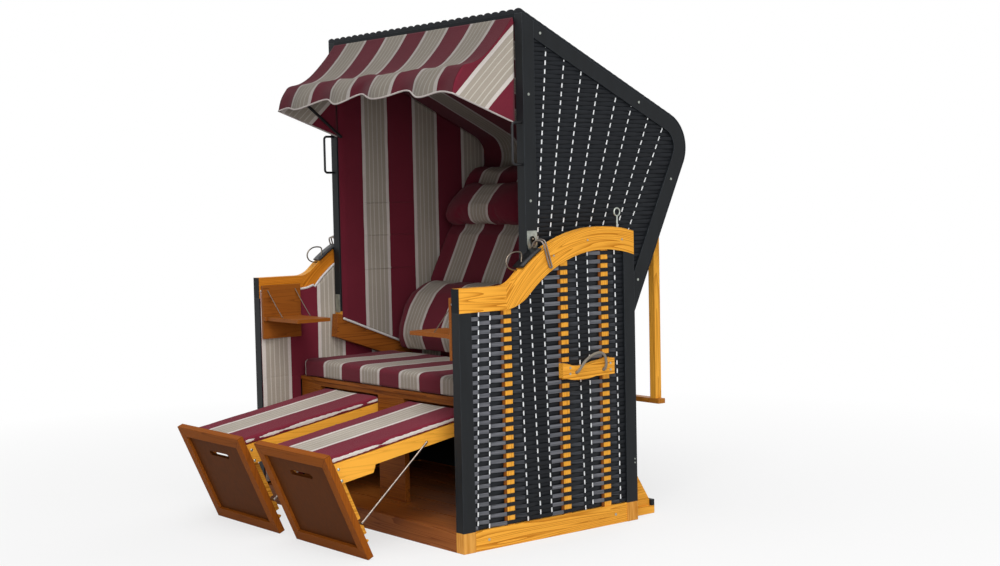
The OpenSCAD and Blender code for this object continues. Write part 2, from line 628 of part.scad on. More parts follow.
// Awning
bow_tip = [bow_y - bow_r*cos(bow_rise), bow_z + bow_r*sin(bow_rise)];
bow_x = hood_in - 13;
module awning_bow() color("#d8dade") {
    rod([[-bow_x, bow_y, bow_z], [-bow_x, bow_tip[0], bow_tip[1]], [bow_x, bow_tip[0], bow_tip[1]],
        [bow_x, bow_y, bow_z]], bow_d);
    both() translate([bow_x, bow_y, bow_z]) sphere(d = bow_d*1.06, $fn = 24);
    both() bar_x(bow_x - 5, hood_in + 14, bow_y, bow_z, bow_pin);
}
cloth_t = 3;
cloth_x = bow_x + bow_d/2 + gap + cloth_t;
cloth_top = [hood_y - 3, hood_z - 25];
cloth_bend = [bow_tip[0] - bow_d/2 - 0.5, bow_tip[1] + bow_d/2 + cloth_t + 1.5];
hem = [cloth_bend[0] - 33, cloth_bend[1] - valance];
cloth_line = [cloth_top, [hood_y - 45, hood_z - 80], [hood_y - 100, hood_z - 140], [hood_y - 145, bow_tip[1] + 18],
    cloth_bend, [cloth_bend[0] - 11, cloth_bend[1] - 30], [cloth_bend[0] - 23, cloth_bend[1] - 62], hem];
hem_waves = 4.5;
cloth_cols = 36;
// A point of the cloth: u runs across from -1 to 1, row k runs down, and t is the depth into the cloth
function cloth_point(u, k, t) = let(p = cloth_line[k], drop = max(k - 4, 0)/3,
    sag = 8*(1 - u*u)*sin(180*min(k/4, 1)), wave = 12*drop*sin(360*hem_waves*u/2 + 30))
    [u*cloth_x, p[0] - wave*0.6 + t*(0.55 + 0.4*drop), p[1] - sag + wave*0.3 - t*(0.8 - 0.7*drop)];
module awning_cloth() color("#8a2c3c") {
    rows = len(cloth_line);
    cols = [for (i = [0:cloth_cols]) 2*i/cloth_cols - 1];
    sheet([for (u = cols) [for (k = [0:rows - 1]) cloth_point(u, k, 0)]],
        [for (u = cols) [for (k = [0:rows - 1]) cloth_point(u, k, cloth_t)]]);
    for (u = [-1, 1]) side_view(u*(cloth_x - cloth_t/2) - cloth_t/2, cloth_t) polygon(concat(
        [for (k = [0:rows - 1]) let(p = cloth_point(u, k, cloth_t + 1)) [p[1], p[2]]],
        [[hood_y - 1, bow_z + 1], [hood_y - 1, cloth_top[1] - 8]]));
}

// Rear support: a frame that hangs from the hood's back and stands on the ground when the hood lies back
module rear_support() color("#b9772e") {
    z0 = support_z - support_l + 12;
    both() difference() {
        union() {
            box(support_x - leg_sq/2, support_x + leg_sq/2, support_y - 13, support_y + 13, z0, support_z);
            bar_x(support_x - leg_sq/2, support_x + leg_sq/2, support_y, support_z, 26);
        }
        bar_x(support_x - 50, support_x + 50, support_y, support_z, support_pin - 2);
    }
    both() bar_x(support_x - leg_sq/2 - 5, support_x + leg_sq/2 + 5, support_y, support_z, support_pin - 2);
    box(-support_x - 28, support_x + 28, support_y - 15, support_y + 15, z0 - 16, z0);
}

// Footrests: a shelf that slides out, with a front panel that stands on the floor
rail_x0 = open_x0 + 9;
rail_x1 = open_x1 - 9;
leg_x = (open_x0 + open_x1)/2;
leg_bolt = 8;
pivot_b = -3;
rail_low = pivot_b - shelf_h/2;
rail_high = pivot_b + shelf_h/2;
leg_pivot = [bar_y - shelf_l*cos(shelf_slope) + pivot_b*sin(shelf_slope)*-1,
    bar_z - shelf_l*sin(shelf_slope) + pivot_b*cos(shelf_slope)];
leg_out = 44.4; // from the panel's hinge to its front face
leg_in = leg_out - leg_t;
leg_low = (leg_pivot[1] - leg_out*sin(leg_lean))/cos(leg_lean);
batten_in = -11.6;
bail_at = [205, -9.2]; // the bail's hinge, along the shelf and up from its middle
notch = [178, 2]; // the bail's notch, down the panel from its hinge and out
// A point of the shelf: a runs forward from the sliding bar, b up; side view
function shelf_p(a, b) = [bar_y - a*cos(shelf_slope) - b*sin(shelf_slope), bar_z - a*sin(shelf_slope) + b*cos(shelf_slope)];
// A point of the panel: w runs down from its hinge, n out towards the front; side view
function leg_p(w, n) = [leg_pivot[0] + w*sin(leg_lean) - n*cos(leg_lean), leg_pivot[1] - w*cos(leg_lean) - n*sin(leg_lean)];
function shelf_pts(v) = [for (p = v) shelf_p(p[0], p[1])];
function leg_pts(v) = [for (p = v) leg_p(p[0], p[1])];
fold = leg_lean - shelf_slope; // the panel squares up by this angle
rail_front = shelf_l + leg_in - 0.8;
rail_cut = shelf_l + (leg_in - 0.8)/cos(fold) + tan(fold)*(rail_low - 22 - pivot_b);
module one_side(s) {
    if (s > 0) children();
    if (s < 0) mirror([1, 0, 0]) children();
}
module slide_bar(s) one_side(s) color("#b9bcc0")
    bar_x(open_x0 - 4 - runner_w + web + gap, open_x1 + 4 + runner_w - web - gap, bar_y, bar_z, bar_d);
module shelf_frame(s) one_side(s) color("#d9972f") {
    for (x = [rail_x0, rail_x1 - shelf_t]) difference() {
        side_view(x, shelf_t) polygon(shelf_pts([[-18, rail_low], [-18, rail_high], [rail_front, rail_high],
            [rail_front, pivot_b - 3], [rail_cut, rail_low - 22], [shelf_l - 113, rail_low - 22],
            [shelf_l - 125, rail_low]]));
        bar_x(x - 1, x + shelf_t + 1, bar_y, bar_z, bar_d + 2*fit);
        bar_x(x - 1, x + shelf_t + 1, leg_pivot[0], leg_pivot[1], leg_bolt + 2*fit);
        bar_x(x - 1, x + shelf_t + 1, shelf_p(bail_at[0], bail_at[1])[0], shelf_p(bail_at[0], bail_at[1])[1], bail_d + 2*fit);
    }
    side_view(rail_x0 + shelf_t + gap, rail_x1 - rail_x0 - 2*shelf_t - 2*gap) polygon(shelf_pts([
        [8, rail_high - 9], [8, rail_high], [shelf_l - 24, rail_high], [shelf_l - 24, rail_high - 9]]));
    bar_x(rail_x0, rail_x0 + shelf_t + 18, leg_pivot[0], leg_pivot[1], leg_bolt);
    bar_x(rail_x1 - shelf_t - 18, rail_x1, leg_pivot[0], leg_pivot[1], leg_bolt);
}
module shelf_cushion(s) one_side(s) color("#b5aa9e") {
    b0 = rail_high + gap;
    b1 = b0 + foot_pad_t - 4;
    line = shelf_pts(concat(
        rounded([20, b0], [20, b1 - 4], 2, 0), rounded([20, b1 - 4], [30, b1], 2, 1),
        rounded([30, b1], [rail_front - 14, b1], 8, -4), rounded([rail_front - 14, b1], [rail_front - 2, b1 - 8], 2, -1),
        rounded([rail_front - 2, b1 - 8], [rail_front - 2, b0], 2, 0), rounded([rail_front - 2, b0], [20, b0], 8, 0)));
    cushion(rail_x0 + 2, rail_x1 - 2, line, 24);
}
stile = 34;
recess = 9;
slot_w = 120;
slot_h = 16;
slot_down = 17; // from the panel's hinge down to the slot
module leg_panel(s) one_side(s) color("#8b4a1e") {
    x0 = leg_x - leg_w/2;
    x1 = leg_x + leg_w/2;
    difference() {
        side_view(x0, leg_w) polygon(leg_pts([[-leg_over, leg_in], [-leg_over, leg_out], [leg_low, leg_out], [leg_low, leg_in]]));
        side_view(x0 + stile, leg_w - 2*stile) polygon(leg_pts([[-leg_over + stile, leg_out - recess], [-leg_over + stile, leg_out + 5],
            [leg_low - stile, leg_out + 5], [leg_low - stile, leg_out - recess]]));
        translate([leg_x, leg_p(slot_down, 0)[0], leg_p(slot_down, 0)[1]]) rotate([90 + leg_lean, 0, 0]) {
            for (e = [-1, 1]) translate([e*(slot_w - slot_h)/2, 0, 0]) cylinder(h = 100, d = slot_h);
            translate([-(slot_w - slot_h)/2, -slot_h/2, 0]) cube([slot_w - slot_h, slot_h, 100]);
        }
    }
}
module notch_cut(w) {
    polygon(leg_pts([[w - bail_d/2 - 0.4, batten_in - 2], [w - bail_d/2 - 0.4, notch[1] + bail_d/2 + 0.4],
        [w + bail_d/2 + 1, notch[1] + bail_d/2 + 0.4], [w + bail_d/2 + 20, batten_in - 2]]));
}
module leg_battens(s) one_side(s) color("#c9822b") {
    for (x = [rail_x0 + shelf_t + gap, rail_x1 - 2*shelf_t - gap]) difference() {
        side_view(x, shelf_t) difference() {
            polygon(leg_pts([[-13, batten_in + 8], [-13, leg_in], [leg_low - 8, leg_in], [leg_low - 24, batten_in + 4],
                [leg_low - 34, batten_in], [-4, batten_in]]));
            for (i = [0:1]) notch_cut(notch[0] + i*notch_pitch);
        }
        bar_x(x - 1, x + shelf_t + 1, leg_pivot[0], leg_pivot[1], leg_bolt + 2*fit);
    }
}
module leg_bail(s) one_side(s) color("#d8dade") {
    up = shelf_p(bail_at[0], bail_at[1]);
    down = leg_p(notch[0], notch[1]);
    x0 = rail_x0 - gap - bail_d/2;
    x1 = rail_x1 + gap + bail_d/2;
    rod([[rail_x0 + shelf_t, up[0], up[1]], [x0, up[0], up[1]], [x0, down[0], down[1]], [x1, down[0], down[1]],
        [x1, up[0], up[1]], [rail_x1 - shelf_t, up[0], up[1]]], bail_d);
}

// Trays, cords, latches and pins
module tray(s) one_side(s) color("#a5652b") difference() {
    union() {
        translate([tray_hinge[0], tray_y0, tray_hinge[1]]) rotate([-90, 0, 0]) cylinder(h = tray_l, d = tray_t);
        box(tray_hinge[0] - tray_d, tray_hinge[0], tray_y0, tray_y1, tray_z - tray_t, tray_z);
    }
    translate([tray_hinge[0], tray_y0 - 1, tray_hinge[1]]) rotate([-90, 0, 0]) cylinder(h = tray_l + 2, d = tray_pin + 2*fit);
}
cord_d = 3;
cord_y0 = -328;
cord_y1 = -218;
module tray_cords(s) one_side(s) color("#e8e6e0")
    for (y = [cord_y0, cord_y1]) tube([[plate_x - 1.1, y, 729], [470, y, 675], [430, y, tray_z + 1.12]], cord_d, 8, [0, 1, 0]);
latch_a0 = 119.5;
latch_a1 = 130;
latch_t = 4;
latch_rise = 4; // from the armrest's top to the latch bar
latch_rod = 6;
latch_ring = 5;
module latch(s) one_side(s) color("#3a3d42") {
    r = arc_r + latch_rise;
    side_view(hood_x + plate_t + gap, 46) ring_sector(hinge, r, r + latch_t, latch_a0, latch_a1, 6);
    side_view(hood_x + plate_t + gap, latch_t) polygon([polar(hinge, r, latch_a0 + 4), latch_pivot + [-9, -2],
        latch_pivot + [-6, 7], latch_pivot + [2, 9], latch_pivot + [9, 0], polar(hinge, r, latch_a0)]);
    bar_x(hood_x - 14, hood_x + plate_t + gap + latch_t, latch_pivot[0], latch_pivot[1], latch_pin);
    hook = polar(hinge, r + latch_t/2, 124.5);
    rod([[side - 8, hook[0], hook[1]], [side - 8, hood_y + 5, 900], [side + 8, hood_y + 5, 900], [side + 8, hood_y + 36, 818]], latch_rod);
    d = polar(hinge, r + latch_t/2, latch_a1 - 0.6);
    rod([[hood_x + 22, d[0], d[1]], [hood_x + 22, d[0] - 10, d[1] + 34], [hood_x + 22, d[0] - 52, d[1] + 18],
        [hood_x + 22, d[0] - 60, d[1] - 8], [hood_x + 22, d[0] - 20, d[1] - 4]], latch_ring);
}
eye_r = 12;
module lock_pin(s) one_side(s) color("#c3c6ca") {
    eye_z = pin_z + 48;
    translate([pin_x, pin_y, pin_z - pin_bore + gap]) cylinder(h = pin_bore + 48 - eye_r, d = pin_d);
    translate([pin_x, pin_y, eye_z]) rotate([0, 90, 0]) rotate_extrude() translate([eye_r, 0]) circle(d = 5, $fn = 24);
}

corner_posts();
base_rails();
armrests();
side_panels();
side_weave();
side_slats();
side_linings();
rack_strips();
seat_front();
seat_deck();
seat_cushion();
floor_boards();
back_panel();
footrest_runners();
hinge_bolts();
tray_plates();
handle_boards();
handle_ropes();
rear_feet();
foot_pads();
base_screws();
hood_posts();
hood_frames();
lower_rails();
hood_panels();
hood_weave();
roof_shell();
hood_beams();
hood_linings();
back_cushion();
lumbar_cushion();
head_pillows();
grab_handles();
post_plates();
hood_screws();
support_brackets();
awning_bow();
awning_cloth();
rear_support();
slide_bar(-1);  // slide_bar_left
shelf_frame(-1);  // shelf_frame_left
shelf_cushion(-1);  // shelf_cushion_left
leg_panel(-1);  // leg_panel_left
leg_battens(-1);  // leg_battens_left
leg_bail(-1);  // leg_bail_left
slide_bar(1);  // slide_bar_right
shelf_frame(1);  // shelf_frame_right
shelf_cushion(1);  // shelf_cushion_right
leg_panel(1);  // leg_panel_right
leg_battens(1);  // leg_battens_right
leg_bail(1);  // leg_bail_right
tray(-1);  // tray_left
tray(1);  // tray_right
tray_cords(-1);  // tray_cords_left
tray_cords(1);  // tray_cords_right
latch(-1);  // latch_left
latch(1);  // latch_right
lock_pin(-1);  // lock_pin_left
lock_pin(1);  // lock_pin_right
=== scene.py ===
from math import sin, cos, tan, pi, radians, sqrt, atan2

import bpy
import bmesh
from mathutils import Vector, Matrix, noise


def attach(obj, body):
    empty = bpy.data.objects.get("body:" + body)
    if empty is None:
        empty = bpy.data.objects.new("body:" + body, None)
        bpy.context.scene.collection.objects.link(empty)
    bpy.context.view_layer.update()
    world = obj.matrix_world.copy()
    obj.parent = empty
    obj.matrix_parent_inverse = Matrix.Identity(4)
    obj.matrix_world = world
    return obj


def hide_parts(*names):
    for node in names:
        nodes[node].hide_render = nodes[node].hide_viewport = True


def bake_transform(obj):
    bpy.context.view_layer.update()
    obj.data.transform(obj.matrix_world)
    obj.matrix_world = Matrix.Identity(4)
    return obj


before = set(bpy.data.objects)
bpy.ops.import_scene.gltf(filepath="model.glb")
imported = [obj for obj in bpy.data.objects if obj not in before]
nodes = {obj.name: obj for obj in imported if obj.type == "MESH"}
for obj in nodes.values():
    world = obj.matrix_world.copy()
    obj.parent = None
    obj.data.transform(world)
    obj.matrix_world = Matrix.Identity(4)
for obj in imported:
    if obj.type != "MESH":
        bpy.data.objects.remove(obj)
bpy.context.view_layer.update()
scene = bpy.context.scene
sides = (("left", -1), ("right", 1))
hingeY, hingeZ = 0.218, 0.437  # where the hood turns on the base, in side view


def placed(name, data):
    made = bpy.data.objects.new(name, data)
    scene.collection.objects.link(made)
    return made


def spread(low, high, count):  # even steps with both ends
    return [low + (high - low)*i/count for i in range(count + 1)]


viewFrom = {"place": (4.1136, -3.0594, 1.0430), "turn": 0.8897, "dip": 0.0573, "roll": -0.0207, "lens": 55.91,
            "sensor": 36, "reach": 200}


def placeCamera():
    turn, dip, roll = viewFrom["turn"], viewFrom["dip"], viewFrom["roll"]
    ahead = Vector((-sin(turn)*cos(dip), cos(turn)*cos(dip), -sin(dip)))
    level = ahead.cross(Vector((0, 0, 1))).normalized()
    raised = level.cross(ahead)
    right = cos(roll)*level + sin(roll)*raised
    up = -sin(roll)*level + cos(roll)*raised
    data = bpy.data.cameras.new("camera")
    data.lens, data.sensor_width, data.clip_end = viewFrom["lens"], viewFrom["sensor"], viewFrom["reach"]
    camera = placed("camera", data)
    turned = Matrix((right, up, -ahead)).transposed().to_4x4()
    camera.matrix_world = Matrix.Translation(viewFrom["place"]) @ turned
    scene.camera = camera


placeCamera()
print("camera placed")

colours = {
    "burgundy": "#6d1f2f", "taupe": "#a59c90", "paleEdge": "#cdc5bf", "thinLine": "#c2bbb0",
    "piping": "#dcd9d6", "hemPiping": "#b5aca8", "goldLight": "#f7b040", "goldDark": "#c27a1c",
    "goldShade": "#7c4516", "brownLight": "#96561f", "brownDark": "#653412", "panelBoard": "#5a3114",
    "panelFrame": "#955119", "board": "#14171a", "boardEdge": "#3a4147", "strip": "#121418",
    "stripLight": "#1b1e22", "litStrip": "#74757b", "faintStrip": "#4a4c51", "dash": "#e6e8e9",
    "bareWood": "#e0a24a", "zinc": "#b1b6ae", "rod": "#8f857d", "wire": "#7c7266", "darkSteel": "#242426",
    "rope": "#8c8478", "plastic": "#1d1f22"}
axes = {"x": (1, 0, 0), "y": (0, 1, 0), "z": (0, 0, 1)}


def shade(name, share=1.0):  # the share makes it darker or brighter
    code = colours[name]
    parts = [int(code[i:i + 2], 16)/255 for i in (1, 3, 5)]
    return [share*(c/12.92 if c <= 0.04045 else ((c + 0.055)/1.055)**2.4) for c in parts] + [1]


def asColour(colour):  # takes a colour's name, a grey or a whole colour
    if isinstance(colour, str):
        return shade(colour)
    return (colour, colour, colour, 1) if isinstance(colour, (int, float)) else colour


def newMaterial(name, roughness=0.5, metallic=0.0, specular=0.5, sheen=0.0):
    material = bpy.data.materials.new(name)
    material.use_nodes = True
    shader = material.node_tree.nodes["Principled BSDF"]
    shader.inputs["Roughness"].default_value = roughness
    shader.inputs["Metallic"].default_value = metallic
    shader.inputs["Specular IOR Level"].default_value = specular
    if sheen:
        shader.inputs["Sheen Weight"].default_value = sheen
        shader.inputs["Sheen Roughness"].default_value = 0.6
    return material, material.node_tree, shader


def feed(tree, target, value):
    if isinstance(value, bpy.types.NodeSocket):
        tree.links.new(value, target)
    else:
        target.default_value = value


def add(tree, kind, inputs=None, **settings):
    made = tree.nodes.new("ShaderNode" + kind)
    for key, value in settings.items():
        setattr(made, key, value)
    for key, value in (inputs or {}).items():
        feed(tree, made.inputs[key], value)
    return made


def calc(tree, operation, *values):
    return add(tree, "Math", dict(enumerate(values)), operation=operation).outputs[0]


def dot(tree, place, direction):
    return add(tree, "VectorMath", {0: place, 1: direction}, operation="DOT_PRODUCT").outputs["Value"]


def scaled(tree, place, factors):
    return add(tree, "VectorMath", {0: place, 1: factors}, operation="MULTIPLY").outputs[0]


def along(tree, place, axis):
    return dot(tree, place, axes[axis])


def below(tree, place, axis, limit):
    return calc(tree, "LESS_THAN", along(tree, place, axis), limit)


def distance(tree, first, second):
    return calc(tree, "ABSOLUTE", calc(tree, "SUBTRACT", first, second))


def nearMiddle(limit):  # a mask of what lies nearer to the middle plane
    return lambda tree, place: calc(tree, "LESS_THAN", calc(tree, "ABSOLUTE", along(tree, place, "x")), limit)


def ramp(tree, factor, stops, interpolation="LINEAR"):
    made = add(tree, "ValToRGB", {"Fac": factor})
    made.color_ramp.interpolation = interpolation
    points = made.color_ramp.elements
    while len(points) < len(stops):
        points.new(0.5)
    for point, (place, colour) in zip(points, stops):
        point.position, point.color = place, asColour(colour)
    return made.outputs["Color"]


def blendColours(tree, factor, first, second, kind="MIX"):
    made = add(tree, "Mix", {0: factor}, data_type="RGBA", blend_type=kind)
    for key, value in ((6, first), (7, second)):
        feed(tree, made.inputs[key], value if isinstance(value, bpy.types.NodeSocket) else asColour(value))
    return made.outputs[2]


def blendPlaces(tree, factor, first, second):
    return add(tree, "Mix", {0: factor, 4: first, 5: second}, data_type="VECTOR").outputs[1]


def objectPlace(tree):
    return add(tree, "TexCoord").outputs["Object"]


def cloudy(tree, place, scale, detail=3, rough=0.5):
    inputs = {"Vector": place, "Scale": scale, "Detail": detail, "Roughness": rough}
    return add(tree, "TexNoise", inputs).outputs["Fac"]


def bump(tree, shader, height, strength, distance, normal=None):
    inputs = {"Height": height, "Strength": strength, "Distance": distance}
    if normal:
        inputs["Normal"] = normal
    tree.links.new(add(tree, "Bump", inputs).outputs["Normal"], shader.inputs["Normal"])


def paint(tree, shader, colour):
    tree.links.new(colour, shader.inputs["Base Color"])


def roundedEdges(tree, radius):  # a softened normal and a mask of the edges
    soft = add(tree, "Bevel", {"Radius": radius}, samples=4).outputs["Normal"]
    sharp = calc(tree, "SUBTRACT", 1.0, dot(tree, soft, add(tree, "NewGeometry").outputs["Normal"]))
    return soft, calc(tree, "MINIMUM", calc(tree, "MULTIPLY", sharp, 9.0), 1.0)


# the stripes: shares of the pale band, then how crooked, fibrous and worn the cloth is
stripes = {"edge": 0.11, "lines": (0.26, 0.41, 0.59, 0.745), "lineWidth": 0.028, "shift": 0.002,
           "crooked": (9.0, 0.004), "fibre": (620.0, 0.30), "patchy": (5.0, 0.22), "threads": 240.0}


def stripedCloth(name, line=(1, 0, 0), start=0.055, pitch=0.2225, mirrored=True, share=0.5, tintAndPaintedLight=1.0):
    material, tree, shader = newMaterial(name, roughness=0.95, specular=0.08, sheen=0.06)
    place = objectPlace(tree)
    way = dot(tree, place, line)
    if mirrored:
        way = calc(tree, "ABSOLUTE", way)
    wobble = calc(tree, "MULTIPLY", cloudy(tree, place, stripes["crooked"][0]), stripes["crooked"][1])
    way = calc(tree, "ADD", calc(tree, "SUBTRACT", way, start + stripes["shift"]), wobble)
    part = calc(tree, "FRACT", calc(tree, "DIVIDE", way, pitch))
    edge, half = stripes["edge"]*share, stripes["lineWidth"]*share/2
    stops = [(0.0, "paleEdge"), (edge, "taupe")]
    for middle in stripes["lines"]:
        stops += [(middle*share - half, "thinLine"), (middle*share + half, "taupe")]
    stops += [(share - edge, "paleEdge"), (share, "burgundy")]
    # the tint scales every stripe colour; on the awning, the base and roof linings, the footrests and the
    # gussets it is painted light and shade
    colour = ramp(tree, part, [(at, shade(tone, tintAndPaintedLight)) for at, tone in stops], "CONSTANT")
    fibre = cloudy(tree, place, stripes["fibre"][0], 2)
    fibreTone = ramp(tree, fibre, [(0.3, 0.35), (0.7, 1)])
    colour = blendColours(tree, stripes["fibre"][1], colour, fibreTone, "MULTIPLY")
    wornTone = ramp(tree, cloudy(tree, place, stripes["patchy"][0], 4), [(0.35, 0.55), (0.65, 1)])
    colour = blendColours(tree, stripes["patchy"][1], colour, wornTone, "MULTIPLY")
    paint(tree, shader, colour)
    waves = {"Vector": place, "Scale": stripes["threads"]}
    warp, weft = (add(tree, "TexWave", waves, bands_direction=way).outputs["Fac"] for way in "XZ")
    bump(tree, shader, calc(tree, "ADD", calc(tree, "ADD", warp, weft), fibre), 0.25, 0.0004)
    return material


pipingFibre = {"scale": 700.0, "detail": 2, "dark": 0.72, "full": 0.65, "strength": 0.3, "depth": 0.0005}
ropeFibre = {"scale": 800.0, "detail": 3, "dark": 0.5, "full": 0.62, "strength": 0.4, "depth": 0.0006}


def fibrous(name, colour, fibre, **finish):
    material, tree, shader = newMaterial(name, **finish)
    hair = cloudy(tree, objectPlace(tree), fibre["scale"], fibre["detail"])
    paint(tree, shader, ramp(tree, hair, [(0.3, shade(colour, fibre["dark"])), (fibre["full"], colour)]))
    bump(tree, shader, hair, fibre["strength"], fibre["depth"])
    return material


woodGrain = {"x": (0.55, 15.0, 15.0), "y": (15.0, 0.55, 15.0), "z": (15.0, 15.0, 0.55), "fine": 9,
             "flow": 1.5, "rings": 17.0, "ringShare": 0.75, "fibreShare": 0.45, "patches": 2.2,
             "patchy": (0.76, 0.70, 0.64, 1), "wornShare": 0.30, "edge": 0.0016, "edgeShare": 0.3}


def wood(name, tones, grain="y", across=None, roughness=0.42, shading=None, bend=None, figure=1.0,
         specular=0.09):
    material, tree, shader = newMaterial(name, roughness=roughness, specular=specular)
    place = objectPlace(tree)
    course = bend(tree, place) if bend else place
    wide, fine = (scaled(tree, course, [k*v for v in woodGrain[grain]]) for k in (1, woodGrain["fine"]))
    if across:  # there the grain runs from side to side
        mask = across(tree, place)
        turned = [scaled(tree, place, [k*v for v in woodGrain["x"]]) for k in (1, woodGrain["fine"])]
        wide, fine = (blendPlaces(tree, mask, a, b) for a, b in zip((wide, fine), turned))
    flow = cloudy(tree, wide, woodGrain["flow"], 2, 0.4)
    rings = calc(tree, "FRACT", calc(tree, "MULTIPLY", flow, woodGrain["rings"]))
    rings = calc(tree, "POWER", rings, 3.0)  # each ring darkens slowly and ends at once
    fibre = cloudy(tree, fine, 1.0, 5, 0.65)
    ringTone = calc(tree, "MULTIPLY", rings, woodGrain["ringShare"]*figure)
    tone = calc(tree, "ADD", ringTone, calc(tree, "MULTIPLY", fibre, woodGrain["fibreShare"]*figure))
    colour = ramp(tree, tone, [(0.18, tones[0]), (0.85, tones[1])])
    patchy = ramp(tree, cloudy(tree, place, woodGrain["patches"], 2), [(0.35, woodGrain["patchy"]), (0.65, 1)])
    colour = blendColours(tree, woodGrain["wornShare"], colour, patchy, "MULTIPLY")
    soft, edge = roundedEdges(tree, woodGrain["edge"])
    colour = blendColours(tree, calc(tree, "MULTIPLY", edge, woodGrain["edgeShare"]), colour, tones[0])
    paint(tree, shader, shading(tree, place, colour) if shading else colour)
    bump(tree, shader, calc(tree, "SUBTRACT", fibre, calc(tree, "MULTIPLY", rings, 0.4)), 0.18, 0.0005, soft)
    return material


boardPaint = {"grain": (40, 40, 9), "dark": 0.75, "edge": 0.0022, "patchy": 14.0, "fibre": (120, 120, 9)}


def paintedBoard(name, bareBelow=None):
    material, tree, shader = newMaterial(name, roughness=0.55, specular=0.22)
    place = objectPlace(tree)
    grain = cloudy(tree, scaled(tree, place, boardPaint["grain"]), 1.0, 4)
    tone = ramp(tree, grain, [(0.35, shade("board", boardPaint["dark"])), (0.65, "board")])
    soft, edge = roundedEdges(tree, boardPaint["edge"])
    patchy = ramp(tree, cloudy(tree, place, boardPaint["patchy"], 3), [(0.3, 0.4), (0.7, 1)])
    # painted highlight: the edges are painted a lighter slate, broken up in patches
    colour = blendColours(tree, calc(tree, "MULTIPLY", edge, patchy), tone, "boardEdge")
    if bareBelow:
        fibre = cloudy(tree, scaled(tree, place, boardPaint["fibre"]), 1.0, 4)
        bare = ramp(tree, fibre, [(0.3, "goldDark"), (0.6, "bareWood")])
        colour = blendColours(tree, below(tree, place, "z", bareBelow), colour, bare)
    paint(tree, shader, colour)
    bump(tree, shader, grain, 0.2, 0.0006, soft)
    return material


def plasticStrip(name, dark, light, roughness=0.55, specular=0.16):
    material, tree, shader = newMaterial(name, roughness=roughness, specular=specular)
    streak = cloudy(tree, scaled(tree, objectPlace(tree), (60, 6, 420)), 1.0, 3)
    paint(tree, shader, ramp(tree, streak, [(0.3, dark), (0.75, light)]))
    bump(tree, shader, streak, 0.2, 0.0004)
    return material


def metal(name, colour, roughness, metallic=1.0):
    material, tree, shader = newMaterial(name, roughness=roughness, metallic=metallic)
    place = objectPlace(tree)
    paint(tree, shader, ramp(tree, cloudy(tree, place, 60.0, 4), [(0.35, shade(colour, 0.7)), (0.6, colour)]))
    bump(tree, shader, cloudy(tree, place, 400.0, 3), 0.12, 0.0003, roundedEdges(tree, 0.0008)[0])
    return material


legPanel = {"pivot": (-0.66063, 0.26688), "lean": radians(24.2), "centre": 0.2445, "width": 0.39,
            "top": -0.068, "foot": 0.2726, "stile": 0.034, "mitre": 0.0008, "grain": (90, 90, 12)}


def panelPlace(tree, place):  # how far a point is from the panel's ends and from its sides
    lean, pivot = legPanel["lean"], legPanel["pivot"]
    down = dot(tree, place, (0, sin(lean), -cos(lean)))
    down = calc(tree, "SUBTRACT", down, pivot[0]*sin(lean) - pivot[1]*cos(lean))
    toEnds = [calc(tree, "SUBTRACT", down, legPanel["top"]), calc(tree, "SUBTRACT", legPanel["foot"], down)]
    across = distance(tree, calc(tree, "ABSOLUTE", along(tree, place, "x")), legPanel["centre"])
    return calc(tree, "MINIMUM", *toEnds), calc(tree, "SUBTRACT", legPanel["width"]/2, across)


def onPanelRails(tree, place):
    fromEnd, fromSide = panelPlace(tree, place)
    nearEnd = calc(tree, "LESS_THAN", fromEnd, legPanel["stile"])
    return calc(tree, "MULTIPLY", calc(tree, "LESS_THAN", fromEnd, fromSide), nearEnd)


def panelShading(tree, place, colour):  # a plain dark board within the frame, and thin mitre lines
    fromEnd, fromSide = panelPlace(tree, place)
    near = calc(tree, "LESS_THAN", distance(tree, fromEnd, fromSide), legPanel["mitre"])
    inFrame = calc(tree, "LESS_THAN", calc(tree, "MINIMUM", fromEnd, fromSide), legPanel["stile"])
    grain = cloudy(tree, scaled(tree, place, legPanel["grain"]), 1.0, 3)
    plain = ramp(tree, grain, [(0.2, "brownDark"), (0.6, "panelBoard")])
    colour = blendColours(tree, inFrame, plain, colour)
    return blendColours(tree, calc(tree, "MULTIPLY", near, inFrame), colour, "brownDark")


# the last three entries place painted shade: how far the black front ends reach, which faces count as inner,
# and how much darker those are
armrest = {"arcRadius": 0.4635, "arcFrom": -0.172, "paintedShadeTo": -0.3490, "facing": -0.2,
           "innerPaintedShade": (0.74, 0.56, 0.42, 1)}


def alongArmrest(tree, place):  # the grain runs level on the flat part and round the hinge on the arc
    across = add(tree, "SeparateXYZ", {0: place}).outputs
    dy = calc(tree, "SUBTRACT", across["Y"], hingeY)
    dz = calc(tree, "SUBTRACT", across["Z"], hingeZ)
    squares = [calc(tree, "MULTIPLY", d, d) for d in (dy, dz)]
    reach = calc(tree, "SQRT", calc(tree, "ADD", *squares))
    travelled = calc(tree, "MULTIPLY", calc(tree, "ARCTAN2", dy, dz), armrest["arcRadius"])
    curved = add(tree, "CombineXYZ", {0: across["X"], 1: travelled, 2: reach}).outputs[0]
    return blendPlaces(tree, calc(tree, "GREATER_THAN", across["Y"], armrest["arcFrom"]), place, curved)


def tinted(tree, mask, colour, tintAndPaintedLight):
    return blendColours(tree, mask, colour, blendColours(tree, 1.0, colour, tintAndPaintedLight, "MULTIPLY"))


